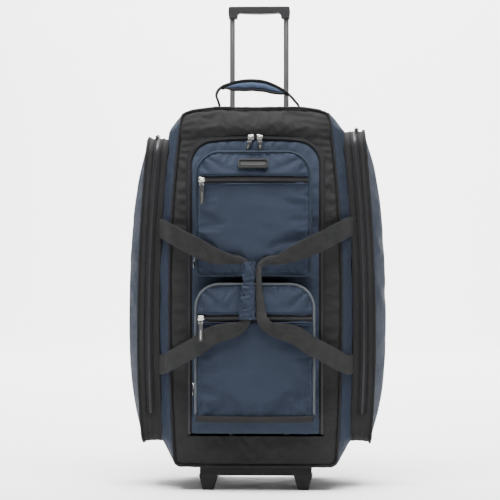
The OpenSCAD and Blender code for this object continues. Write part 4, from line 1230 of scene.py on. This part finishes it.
# the wrap: a padded blue sleeve, pulled tight at its waist and creased across
wrap_low, wrap_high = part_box("strap_wrap")
heights = np.linspace(wrap_low.z, wrap_high.z, 84)
left_edge = np.interp(heights, [0.345, 0.385, 0.425, 0.459], [-0.0305, -0.0270, -0.0245, -0.0235])
right_edge = np.interp(heights, [0.345, 0.385, 0.425, 0.459], [0.0030, 0.0024, 0.0010, 0.0026])
mid_y, half_y = (wrap_low.y + wrap_high.y) / 2, (wrap_high.y - wrap_low.y) / 2
verts, rows, sides = [], len(heights), 48
for i, z in enumerate(heights):
    waist = 1 - 0.16 * math.exp(-((z - 0.418) / 0.010) ** 2) - 0.06 * math.exp(-((z - 0.38) / 0.006) ** 2)
    cx, hx = (left_edge[i] + right_edge[i]) / 2, (right_edge[i] - left_edge[i]) / 2
    cinch = min(1.0, 0.72 + 14 * min(z - wrap_low.z, wrap_high.z - z))
    for k in range(sides):
        a = 2 * math.pi * k / sides
        c, s = math.cos(a), math.sin(a)
        fold = (0.0013 * noise.noise(Vector((c * 1.6, s * 1.2, z * 150)))
                + 0.0018 * noise.noise(Vector((z * 75 + c * 1.8, 5.1, s * 1.4))))
        fold -= 0.0022 * max(0.0, 1 - abs(noise.noise(Vector((c * 1.1 + z * 34, z * 52, 2.2)))) * 7)
        hy = (half_y * 1.02) * (waist if s < 0 else 1) * cinch
        verts.append((cx + (hx * waist ** 0.4 + fold) * math.copysign(abs(c) ** 0.55, c),
                      mid_y + (hy + fold * 1.2) * math.copysign(abs(s) ** 0.7, s), z))
wrap = mesh_piece("wrap_sleeve", verts, ring_faces(rows, sides), slate_nylon)
wall = wrap.modifiers.new("cloth_thickness", "SOLIDIFY")
wall.thickness, wall.offset = 0.0012, -1
smooth = wrap.modifiers.new("round", "SUBSURF")
smooth.levels = smooth.render_levels = 1
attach(wrap, "left_strap")
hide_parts("strap_wrap")

# ---------------------------------------------------------------- top handle
# A loop of webbing sewn into the top panel, with a padded blue grip under its middle. Black
# bindings run along the grip's upper and lower edges and meet at both of its ends.

handle_route = [(-0.0765, 0.7665), (-0.0760, 0.775), (-0.0795, 0.787), (-0.0825, 0.797),
                (-0.0790, 0.8065), (-0.070, 0.8145), (-0.058, 0.8195), (-0.035, 0.8255),
                (-0.009, 0.8275), (0.017, 0.8245), (0.040, 0.8155), (0.056, 0.8065),
                (0.068, 0.7965), (0.0785, 0.785), (0.0855, 0.776), (0.0880, 0.7665)]
handle_y = (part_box("top_handle_webbing")[0].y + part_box("top_handle_webbing")[1].y) / 2
rows = smooth_path([(x, handle_y, z, np.interp(z, [0.767, 0.776, 0.787], [0.0085, 0.0105, 0.0130]))
                    for x, z in handle_route], 90)
step = np.gradient(rows[:, :3], axis=0)
out = np.stack([-step[:, 2], step[:, 0] * 0, step[:, 0]], 1)
handle_web = strap_piece("top_handle_web", rows, out, black_webbing, thickness=0.0042, cup=0.0008)
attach(handle_web, "top_handle")
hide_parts("top_handle_webbing")

grip_low, grip_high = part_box("top_handle_grip")
ends = np.linspace(grip_low.x + 0.002, grip_high.x, 44)
table_x, table_z = [p[0] for p in handle_route[3:13]], [p[1] for p in handle_route[3:13]]
mid_x, half_x = (ends[0] + ends[-1]) / 2, (ends[-1] - ends[0]) / 2
verts, sides, under = [], 24, []
for i, x in enumerate(ends):
    top_z = np.interp(x, table_x, table_z) - 0.0022
    depth = 0.0185 * (1 - abs((x - mid_x) / half_x) ** 3.2 * 0.80)
    half_w = 0.0138 * (1 - abs((x - mid_x) / half_x) ** 5 * 0.35)
    for k in range(sides):
        a = 2 * math.pi * k / sides
        c, s = math.cos(a), math.sin(a)
        fold = 0.0006 * noise.noise(Vector((x * 130, c * 1.5, s * 1.5)))
        verts.append((x, handle_y + (half_w + fold) * math.copysign(abs(c) ** 0.75, c),
                      top_z - depth / 2 + (depth / 2 + fold) * math.copysign(abs(s) ** 0.8, s)))
    under.append((x, handle_y, top_z - depth + 0.0010))
faces = ring_faces(len(ends), sides) + end_caps(len(ends), sides)
# painted light: the pad's nylon is a lighter copy of the slate blue nylon, lightened to stand for the
# overhead lamp on the pad's top
lit_handle_nylon = woven("lit_handle_nylon", (0.036, 0.052, 0.088), 0.30, relief=0.00016, sheen=0.02, rough=0.60)
pad = turned_outwards(mesh_piece("top_handle_pad", verts, faces, lit_handle_nylon))
smooth = pad.modifiers.new("round", "SUBSURF")
smooth.levels = smooth.render_levels = 1
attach(pad, "top_handle")
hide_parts("top_handle_grip")

# the pad's black binding: one strip over its top edge, one under it, closed together at both ends
def binding(name, line, width, depth):
    count, verts = 22, []
    for i, (x, y, z) in enumerate(line):
        end = min(1.0, 0.55 + 9 * min(i, len(line) - 1 - i) / len(line))
        for k in range(count):
            a = 2 * math.pi * k / count
            c, s = math.cos(a), math.sin(a)
            verts.append((x, y + width / 2 * end * math.copysign(abs(c) ** 0.6, c),
                          z + depth / 2 * end * math.copysign(abs(s) ** 0.7, s)))
    faces = ring_faces(len(line), count) + end_caps(len(line), count)
    strip = turned_outwards(mesh_piece(name, verts, faces, black_webbing, uv=[(v[0], v[1]) for v in verts]))
    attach(strip, "top_handle")


span = np.linspace(ends[0] - 0.0065, ends[-1] + 0.0050, 60)
over = [(x, handle_y, np.interp(x, table_x, table_z) - 0.0024) for x in span]
binding("top_handle_binding", over, 0.0240, 0.0068)
below = [(x, handle_y,
          max(np.interp(x, [p[0] for p in under], [p[2] for p in under]), 0)
          if under[0][0] < x < under[-1][0] else np.interp(x, table_x, table_z) - 0.0055)
         for x in span]
binding("top_handle_lower_binding", below, 0.0262, 0.0046)

# ---------------------------------------------------------------- pull handle
# Two brushed aluminium tubes slide in outer tubes behind the back board and carry a moulded grip
# with a release button in its top. A moulded bezel closes the opening in the bag's top panel.

def finish_node(node, material):
    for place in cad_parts[node].material_slots:
        place.material = material


def grainy(name, colour, rough, grain, depth, metal=0.0, stretch=(1, 1, 1), mottle=0.15, gloss=0.5,
           spread=0.12):
    """A moulded or metal surface: a fine grain, with its tone and gloss a little uneven."""
    material, tree, shader = tree_of(name)
    at, turn = tree.nodes.new("ShaderNodeTexCoord"), tree.nodes.new("ShaderNodeMapping")
    turn.inputs["Scale"].default_value = stretch
    tree.links.new(at.outputs["Object"], turn.inputs["Vector"])
    fine, broad = tree.nodes.new("ShaderNodeTexNoise"), tree.nodes.new("ShaderNodeTexNoise")
    fine.inputs["Scale"].default_value, fine.inputs["Detail"].default_value = grain, 3
    broad.inputs["Scale"].default_value, broad.inputs["Detail"].default_value = 28, 6
    for texture in (fine, broad):
        tree.links.new(turn.outputs[0], texture.inputs["Vector"])
    bump = tree.nodes.new("ShaderNodeBump")
    bump.inputs["Distance"].default_value = depth
    tree.links.new(fine.outputs["Fac"], bump.inputs["Height"])
    tree.links.new(bump.outputs[0], shader.inputs["Normal"])
    tone = tree.nodes.new("ShaderNodeMapRange")
    tone.inputs["From Min"].default_value, tone.inputs["From Max"].default_value = 0.3, 0.7
    tone.inputs["To Min"].default_value, tone.inputs["To Max"].default_value = 1 - mottle, 1 + mottle
    tree.links.new(broad.outputs["Fac"], tone.inputs["Value"])
    tint = tree.nodes.new("ShaderNodeVectorMath")
    tint.operation = "SCALE"
    tint.inputs[0].default_value = colour
    tree.links.new(tone.outputs["Result"], tint.inputs["Scale"])
    tree.links.new(tint.outputs[0], shader.inputs["Base Color"])
    wear = tree.nodes.new("ShaderNodeMapRange")
    wear.inputs["From Min"].default_value, wear.inputs["From Max"].default_value = 0.3, 0.7
    wear.inputs["To Min"].default_value, wear.inputs["To Max"].default_value = (
        rough - spread / 2, rough + spread / 2)
    tree.links.new(fine.outputs["Fac"], wear.inputs["Value"])
    tree.links.new(wear.outputs["Result"], shader.inputs["Roughness"])
    shader.inputs["Metallic"].default_value = metal
    shader.inputs["Specular IOR Level"].default_value = gloss
    return material


def moulded(node, name, material, body, width=0.0006, segments=2, pick=None, clamp=True):
    """The CAD part's own shape, with its edges rounded off as they leave the mould or the saw."""
    net = bmesh.new()
    net.from_mesh(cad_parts[node].data)
    bmesh.ops.remove_doubles(net, verts=net.verts, dist=1e-5)
    bmesh.ops.dissolve_limit(net, angle_limit=math.radians(0.6), verts=net.verts, edges=net.edges)
    weight = net.edges.layers.float.new("bevel_weight_edge")
    for edge in net.edges:
        turned = len(edge.link_faces) == 2 and edge.calc_face_angle(0) > math.radians(32)
        if turned and (pick is None or pick(*(v.co for v in edge.verts))):
            edge[weight] = 1.0
    mesh = bpy.data.meshes.new(name)
    net.to_mesh(mesh)
    net.free()
    mesh.materials.clear()
    mesh.materials.append(material)
    mesh.set_sharp_from_angle(angle=math.radians(50))
    mesh.polygons.foreach_set("use_smooth", [True] * len(mesh.polygons))
    piece = bpy.data.objects.new(name, mesh)
    bpy.context.scene.collection.objects.link(piece)
    if width:
        edge = piece.modifiers.new("edges", "BEVEL")
        edge.width, edge.segments = width, segments
        edge.limit_method = "WEIGHT"
        edge.use_clamp_overlap = clamp
        level = piece.modifiers.new("shading", "WEIGHTED_NORMAL")
        level.keep_sharp = True
    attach(piece, body)
    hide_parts(node)
    return piece


def turned_part(name, centre, axis, profile, material, count=64, start=0.0):
    """A round part: profile rows are (distance along the axis, radius), from one end to the other."""
    along = Vector(axis).normalized()
    first = along.orthogonal().normalized()
    second = along.cross(first)
    verts = []
    for run, radius in profile:
        for k in range(count):
            a = start + 2 * math.pi * k / count
            verts.append(Vector(centre) + along * run
                         + (first * math.cos(a) + second * math.sin(a)) * radius)
    return closed_up(mesh_piece(name, verts, ring_faces(len(profile), count), material))


def closed_up(piece, merge=1e-6):
    """Merges what coincides, closes open ends and turns every face outwards."""
    net = bmesh.new()
    net.from_mesh(piece.data)
    bmesh.ops.remove_doubles(net, verts=net.verts, dist=merge)
    rims = [e for e in net.edges if e.is_boundary]
    if rims:
        bmesh.ops.holes_fill(net, edges=rims)
    bmesh.ops.recalc_face_normals(net, faces=net.faces)
    for face in net.faces:
        face.smooth = True
    net.to_mesh(piece.data)
    net.free()
    piece.data.set_sharp_from_angle(angle=math.radians(40))
    return piece


tube_metal = grainy("tube_metal", (0.165, 0.166, 0.168), 0.46, 900, 0.00004, metal=1.0,
                    stretch=(1, 1, 0.03), mottle=0.05)
outer_tube_metal = grainy("outer_tube_metal", (0.50, 0.50, 0.50), 0.45, 700, 0.00005, metal=1.0,
                          stretch=(1, 1, 0.04), mottle=0.08)
grip_plastic = grainy("grip_plastic", (0.0105, 0.0105, 0.0112), 0.48, 1500, 0.00010, mottle=0.12,
                      gloss=0.25)
button_plastic = grainy("button_plastic", (0.075, 0.075, 0.078), 0.38, 1800, 0.00006, mottle=0.08)
black_plastic = grainy("black_plastic", (0.0042, 0.0042, 0.0045), 0.58, 1100, 0.00018, mottle=0.25,
                       gloss=0.18)
guide_plastic = grainy("guide_plastic", (0.62, 0.61, 0.57), 0.38, 800, 0.00004, mottle=0.05)
board = grainy("board", (0.035, 0.035, 0.037), 0.72, 420, 0.00020, mottle=0.35, stretch=(1, 1, 0.3))
steel = grainy("steel", (0.48, 0.48, 0.47), 0.32, 700, 0.00004, metal=1.0, mottle=0.10)

tube_y = (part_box("left_inner_tube")[0].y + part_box("left_inner_tube")[1].y) / 2
tube_x = (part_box("right_inner_tube")[0].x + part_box("right_inner_tube")[1].x) / 2
for label in ("left", "right"):
    moulded(label + "_inner_tube", label + "_sliding_tube", tube_metal, "pull_handle",
            width=0)
    finish_node(label + "_outer_tube", outer_tube_metal)
finish_node("tube_end_guides", guide_plastic)
finish_node("tube_foot", black_plastic)
finish_node("release_rods", steel)
finish_node("back_board", board)
finish_node("base_board", board)
moulded("handle_bezel", "top_bezel", black_plastic, "bag", width=0.0011, segments=3)
grip_depth = (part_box("pull_grip")[1].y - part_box("pull_grip")[0].y) / 2


def on_grip_face(a, b):
    return abs(abs(a.y - tube_y) - grip_depth) < 1e-5 and abs(abs(b.y - tube_y) - grip_depth) < 1e-5


moulded("pull_grip", "handle_grip", grip_plastic, "pull_handle", width=0.0019, segments=4,
        pick=on_grip_face, clamp=False)
moulded("release_button", "handle_button", button_plastic, "button", width=0.0009,
        segments=3)
# moulded rings where the tubes enter the grip
grip_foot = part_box("pull_grip")[0].z
for side, label in ((-1, "left"), (1, "right")):
    ring = turned_part(label + "_grip_ferrule", (side * tube_x, tube_y, grip_foot - 0.0008), (0, 0, 1),
                       [(0, 0.0058), (0.0, 0.0070), (0.0004, 0.0076), (0.0013, 0.0078), (0.0013, 0.0058),
                        (0, 0.0058)], grip_plastic, 40)
    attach(ring, "pull_handle")

# the button's spring: a steel coil under the button
spring_low, spring_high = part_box("button_spring")
turns, wire = 3.5, 0.00045
spring_path = [(0.0032 * math.cos(a), tube_y + 0.0032 * math.sin(a),
                spring_low.z + wire + (spring_high.z - spring_low.z - 2 * wire) * a / (turns * 2 * math.pi))
               for a in np.linspace(0, turns * 2 * math.pi, 110)]
spring = tube("button_coil", spring_path, wire, steel, closed=False, sides=8, wobble=0)
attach(spring, "pull_handle")
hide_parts("button_spring")

# ---------------------------------------------------------------- base and wheels
# A moulded tray with two front feet is screwed under the bag, with a moulded hood over each rear
# wheel. A wheel is a rubber tyre on a grey hub, with two ball bearings on a steel axle.

tyre_rubber = grainy("tyre_rubber", (0.020, 0.020, 0.020), 0.74, 1300, 0.00022, mottle=0.4, gloss=0.35)
hub_plastic = grainy("hub_plastic", (0.115, 0.115, 0.12), 0.44, 1000, 0.00010, mottle=0.15)
moulded("base_tray", "base_tray_moulding", black_plastic, "bag", width=0.0007)
for label in ("left", "right"):
    moulded(label + "_wheel_housing", label + "_wheel_hood", black_plastic, "bag",
            width=0.0006)
    low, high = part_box(label + "_tyre")
    centre, half, radius = (low + high) / 2, (high.x - low.x) / 2, (high.z - low.z) / 2
    groove = 0.0011
    tread = [(-half + 0.0010, radius - 0.0090), (-half, radius - 0.0040)]
    for a in np.radians(np.arange(-66, 67, 6)):
        run, r = ((half - 0.0015) * math.sin(a) / math.sin(math.radians(66)),
                  radius - 0.007 + 0.007 * math.cos(a))
        dip = groove * max(math.exp(-((abs(run) - 0.0042) / 0.0007) ** 4), 0)
        tread.append((run, r - dip))
    tread += [(half, radius - 0.0040), (half - 0.0010, radius - 0.0090)]
    tyre = turned_part(label + "_tyre_tread", centre, (1, 0, 0), tread + tread[:1], tyre_rubber, 96)
    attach(tyre, label + "_wheel")
    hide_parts(label + "_tyre")
    moulded(label + "_hub", label + "_wheel_hub", hub_plastic, label + "_wheel",
            width=0.0005)
    low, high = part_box(label + "_bearings")
    rings = []
    for s in (-1, 1):
        outer_x = high.x if s > 0 else low.x
        profile = [(0, 0.00405), (0, 0.0060), (0.0005, 0.0061), (0.0006, 0.0088), (0, 0.0090), (0, 0.0106),
                   (0.0004, 0.0110), (0.0066, 0.0110), (0.0070, 0.0106), (0.0070, 0.00405), (0, 0.00405)]
        rings.append(turned_part("ring_%s_%s" % (label, "out" if s > 0 else "in"),
                                 (outer_x, centre.y, centre.z), (-s, 0, 0), profile, steel, 48))
    joined = bmesh.new()
    for part in rings:
        joined.from_mesh(part.data)
        bpy.data.objects.remove(part)
    mesh = bpy.data.meshes.new(label + "_ball_bearings")
    joined.to_mesh(mesh)
    joined.free()
    mesh.materials.append(steel)
    bearing = bpy.data.objects.new(label + "_ball_bearings", mesh)
    bpy.context.scene.collection.objects.link(bearing)
    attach(bearing, label + "_wheel")
    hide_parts(label + "_bearings")
moulded("wheel_axles", "axle_pins", steel, "bag", width=0.0005)

# pan-head screws with a cross recess, one under each boss of the tray and hood
screw_half = 0.0045
head = [(0.0145, 0.0024), (0.0002, 0.0024), (0.0000, screw_half - 0.0002), (-0.0008, screw_half),
        (-0.0015, screw_half - 0.0006), (-0.0020, screw_half - 0.0019)]
count, verts = 48, []
for run, r in head:
    verts += [(r * math.cos(2 * math.pi * k / count), r * math.sin(2 * math.pi * k / count), run)
              for k in range(count)]
for z, grow in ((-0.0020, 1.0), (-0.0009, 0.72)):
    for k in range(count):
        a = 2 * math.pi * k / count
        r = 0.0006 + 0.0016 * abs(math.cos(2 * a)) ** 5 * grow
        verts.append((r * math.cos(a), r * math.sin(a), z))
screw = closed_up(mesh_piece("one_screw", verts, ring_faces(len(verts) // count, count), steel))
low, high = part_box("base_screws")
tray_screws = [(x, y, low.z + 0.002) for x in (-0.036, 0.036) for y in (-0.052, 0.048)]
wheel_x = (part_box("right_tyre")[0].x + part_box("right_tyre")[1].x) / 2
hood_screw_y, hood_screw_z = 0.094, 0.0464 - 0.0003
hood_screws = [(side * wheel_x + x, hood_screw_y, hood_screw_z) for side in (-1, 1)
               for x in (-0.022, 0.022)]
seats = mesh_piece("screw_seats", tray_screws + hood_screws, [], steel)
tree = bpy.data.node_groups.new("screws_on_seats", "GeometryNodeTree")
tree.interface.new_socket("Seats", in_out="INPUT", socket_type="NodeSocketGeometry")
turn_socket = tree.interface.new_socket("Turn", in_out="INPUT", socket_type="NodeSocketFloat")
screw_socket = tree.interface.new_socket("Screw", in_out="INPUT", socket_type="NodeSocketObject")
metal_socket = tree.interface.new_socket("Metal", in_out="INPUT", socket_type="NodeSocketMaterial")
tree.interface.new_socket("Screws", in_out="OUTPUT", socket_type="NodeSocketGeometry")
source, sink = tree.nodes.new("NodeGroupInput"), tree.nodes.new("NodeGroupOutput")
shape = tree.nodes.new("GeometryNodeObjectInfo")
spread = tree.nodes.new("GeometryNodeInstanceOnPoints")
angle = tree.nodes.new("FunctionNodeRandomValue")
angle.data_type = "FLOAT"
angle.inputs["Seed"].default_value = 7
compose = tree.nodes.new("ShaderNodeCombineXYZ")
real, paint = tree.nodes.new("GeometryNodeRealizeInstances"), tree.nodes.new("GeometryNodeSetMaterial")
tree.links.new(source.outputs["Screw"], shape.inputs["Object"])
tree.links.new(source.outputs["Seats"], spread.inputs["Points"])
tree.links.new(shape.outputs["Geometry"], spread.inputs["Instance"])
random_max = [s for s in angle.inputs if s.name == "Max" and s.enabled][0]
tree.links.new(source.outputs["Turn"], random_max)
tree.links.new([s for s in angle.outputs if s.enabled][0], compose.inputs["Z"])
tree.links.new(compose.outputs[0], spread.inputs["Rotation"])
tree.links.new(spread.outputs[0], real.inputs[0])
tree.links.new(real.outputs[0], paint.inputs["Geometry"])
tree.links.new(source.outputs["Metal"], paint.inputs["Material"])
tree.links.new(paint.outputs[0], sink.inputs[0])
maker = seats.modifiers.new("screws", "NODES")
maker.node_group = tree
maker[turn_socket.identifier] = 1.5
maker[screw_socket.identifier] = screw
maker[metal_socket.identifier] = steel
bpy.context.view_layer.update()
made = bpy.data.meshes.new_from_object(seats.evaluated_get(bpy.context.evaluated_depsgraph_get()))
seats.modifiers.clear()
bpy.data.objects.remove(seats)
bpy.data.objects.remove(screw)
screws = bpy.data.objects.new("tray_screws", made)
bpy.context.scene.collection.objects.link(screws)
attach(screws, "bag")
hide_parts("base_screws")

# ---------------------------------------------------------------- zip sliders
# Nickel-plated die-cast sliders. Each has an arched bar, and on it a plated loop that holds a
# moulded black pull with a plated bar let into its lower half.

painted_metal = grainy("painted_metal", (0.012, 0.012, 0.013), 0.36, 900, 0.00005, metal=0.0, mottle=0.12)
slider_metal = grainy("slider_metal", (0.66, 0.655, 0.63), 0.26, 600, 0.00004, metal=1.0, mottle=0.08)
pull_rubber = grainy("pull_rubber", (0.014, 0.014, 0.015), 0.48, 1500, 0.00012, mottle=0.15)


def placed(points, origin, along, out):
    """Turns (along the zip, outwards, across it) into the row frame."""
    along, out = Vector(along), Vector(out)
    across = along.cross(out)
    return [Vector(origin) + along * a + out * o + across * c for a, o, c in points]


def slider(name, nodes, body, origin, along, out, bar_along=True, metal=None, size=1.14):
    """A slider's body and its arched bar, lying on the zip at origin."""
    count = 28
    outline = []
    for k in range(count):
        a = 2 * math.pi * k / count
        run = 0.0057 * math.copysign(abs(math.cos(a)) ** 0.75, math.cos(a))
        wide = (0.0043 - 0.0011 * (run / 0.0057)) * math.copysign(abs(math.sin(a)) ** 0.6, math.sin(a))
        outline.append((run, wide))
    rings = []
    metal = metal or slider_metal
    for rise, share in ((-0.0009, 0.90), (-0.0006, 0.98), (0.0005, 1.0), (0.0009, 0.95), (0.0011, 0.80),
                        (0.0018, 0.80), (0.0020, 0.96), (0.0024, 1.0), (0.0029, 0.98), (0.0033, 0.88),
                        (0.0035, 0.70)):
        rings += [(r * share * size, rise, w * share * size) for r, w in outline]
    shell = mesh_piece(name, placed(rings, origin, along, out), ring_faces(len(rings) // count, count),
                       metal)
    closed_up(shell)
    arch = [(-0.0040, 0.0026), (-0.0041, 0.0040), (-0.0036, 0.0050), (-0.0026, 0.0054), (0, 0.0055),
            (0.0026, 0.0054), (0.0036, 0.0050), (0.0041, 0.0040), (0.0040, 0.0026)]
    path = placed([(r if bar_along else 0, o, 0 if bar_along else r) for r, o in arch], origin, along, out)
    bar = tube(name + "_bar", path, 0.00085, metal, closed=False, sides=10, wobble=0)
    for piece in (shell, bar):
        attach(piece, body)
    if nodes:
        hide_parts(nodes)
    return shell


def rounded_bar(name, centres, widths, depths, wide_axis, deep_axis, material, count=20):
    wide_axis, deep_axis = Vector(wide_axis), Vector(deep_axis)
    verts = []
    for centre, w, d in zip(centres, widths, depths):
        for k in range(count):
            a = 2 * math.pi * k / count
            c, s = math.cos(a), math.sin(a)
            verts.append(Vector(centre) + wide_axis * (w / 2 * math.copysign(abs(c) ** 0.6, c))
                         + deep_axis * (d / 2 * math.copysign(abs(s) ** 0.8, s)))
    return closed_up(mesh_piece(name, verts, ring_faces(len(verts) // count, count), material))


def pull(name, nodes, body, pivot, hang, wide, out, length, slant=0.0, lean=0.0025, width=0.0086,
         metal=None):
    """A pull that hangs from its slider's bar at pivot: loop, moulded body and plated inlay."""
    pivot, hang, wide, out = Vector(pivot), Vector(hang), Vector(wide), Vector(out)

    def at(run, lift=0.0):
        share = max(run, 0) / length
        return pivot + hang * run + wide * (slant * share) + out * (lean * share ** 1.3 + lift)

    metal = metal or slider_metal
    neck, foot = 0.0086 if length > 0.024 else 0.0070, width * 0.42
    loop = [at(-0.0011, 0.0019) + wide * -0.0017, at(0.0018, 0.0004) + wide * -0.0022,
            at(neck * 0.6) + wide * -(foot * 0.85), at(neck + 0.0016) + wide * -foot,
            at(neck + 0.0022) + wide * 0, at(neck + 0.0016) + wide * foot,
            at(neck * 0.6) + wide * (foot * 0.85), at(0.0018, 0.0004) + wide * 0.0022,
            at(-0.0011, 0.0019) + wide * 0.0017]
    smooth_loop = smooth_path([tuple(p) for p in loop], 46)
    ring = tube(name + "_loop", smooth_loop, 0.00092, metal, closed=False, sides=8, wobble=0)
    crook = [at(-0.0011, 0.0019) + wide * w for w in np.linspace(-0.0018, 0.0018, 5)]
    top = tube(name + "_loop_top", crook, 0.00092, metal, closed=False, sides=8, wobble=0)
    runs = np.array([neck - 0.0012, neck - 0.0006, neck + 0.001, neck + 0.004, length * 0.5, length - 0.004,
                     length - 0.0012, length - 0.0002])
    if length < 0.024:
        runs = np.array([neck - 0.0012, neck - 0.0006, neck + 0.001, neck + 0.003, length * 0.6,
                         length - 0.003, length - 0.0010, length - 0.0002])
    share = [0.55, 0.72, 0.84, 0.95, 1.0, 1.0, 0.82, 0.5]
    deep = [0.0016, 0.0024, 0.0030, 0.0032, 0.0030, 0.0027, 0.0022, 0.0012]
    grip = rounded_bar(name + "_grip", [at(r) for r in runs], [width * s for s in share], deep, wide, out,
                       pull_rubber)
    inlay_runs = np.linspace(neck + (length - neck) * 0.40, length - 0.0032, 6)
    inlay = rounded_bar(name + "_inlay", [at(r, 0.0013) for r in inlay_runs],
                        [0.0020, 0.0029, 0.0031, 0.0031, 0.0029, 0.0020],
                        [0.0009, 0.0013, 0.0014, 0.0014, 0.0013, 0.0009], wide, out, metal, 14)
    for piece in (ring, top, inlay):
        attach(piece, body)
    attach(grip, body)
    if nodes:
        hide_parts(nodes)
    return grip


for label, body, tab, slant in (("flap_left", "flap_left_zip", "flap_left_tab", -0.0075),
                                ("flap_right", "flap_right_zip", "flap_right_tab", 0.0012),
                                ("upper_zip", "upper_zip", "upper_tab", 0.0006),
                                ("lower_zip", "lower_zip", "lower_tab", 0.0004)):
    low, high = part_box(label + "_slider")
    origin = ((low.x + high.x) / 2, high.y - 0.0003, (low.z + high.z) / 2)
    slider(label + "_slider_body", label + "_slider", body, origin,
           (-1 if label == "flap_left" else 1, 0, 0), (0, -1, 0))
    low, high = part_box(label + "_pull")
    pivot_y = high.y - 0.0017
    length = (high.z - low.z) - 0.0017
    lean = 0.0025
    if label == "lower_zip":
        # this pull is a long one, and leans out over the strap in front of it
        length, lean = 0.046, 0.0150
    pull(label + "_tab", label + "_pull", tab, ((low.x + high.x) / 2, pivot_y, high.z - 0.0017), (0, 0, -1),
         (1, 0, 0), (0, -1, 0), length, slant, lean)

for label in ("upper_side", "lower_side"):
    low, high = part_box(label + "_slider")
    origin = (high.x + 0.0003, (low.y + high.y) / 2, high.z - 0.0055)
    slider(label + "_slider_body", label + "_slider", label + "_zip", origin, (0, 0, 1), (-1, 0, 0),
           bar_along=False)
    length = origin[2] - low.z
    pull(label + "_tab", (), label + "_zip", (origin[0] - 0.0053, origin[1], origin[2]), (0, 0, -1),
         (0, 1, 0), (-1, 0, 0), length, lean=0.0010, width=0.0068)

for label in ("left", "right"):
    low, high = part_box(label + "_pocket_slider")
    origin = ((low.x + high.x) / 2, high.y - 0.0055, low.z - 0.0003)
    slider(label + "_pocket_slider_body", label + "_pocket_slider", label + "_pocket_zip", origin,
           (0, 1, 0), (0, 0, 1), bar_along=False, metal=painted_metal, size=0.95)
    length = origin[1] - low.y
    pull(label + "_pocket_tab", (), label + "_pocket_zip", (origin[0], origin[1], origin[2] + 0.0053),
         (0, -1, 0), (1, 0, 0), (0, 0, 1), length,
         lean=-0.0026, width=0.0068, metal=painted_metal)
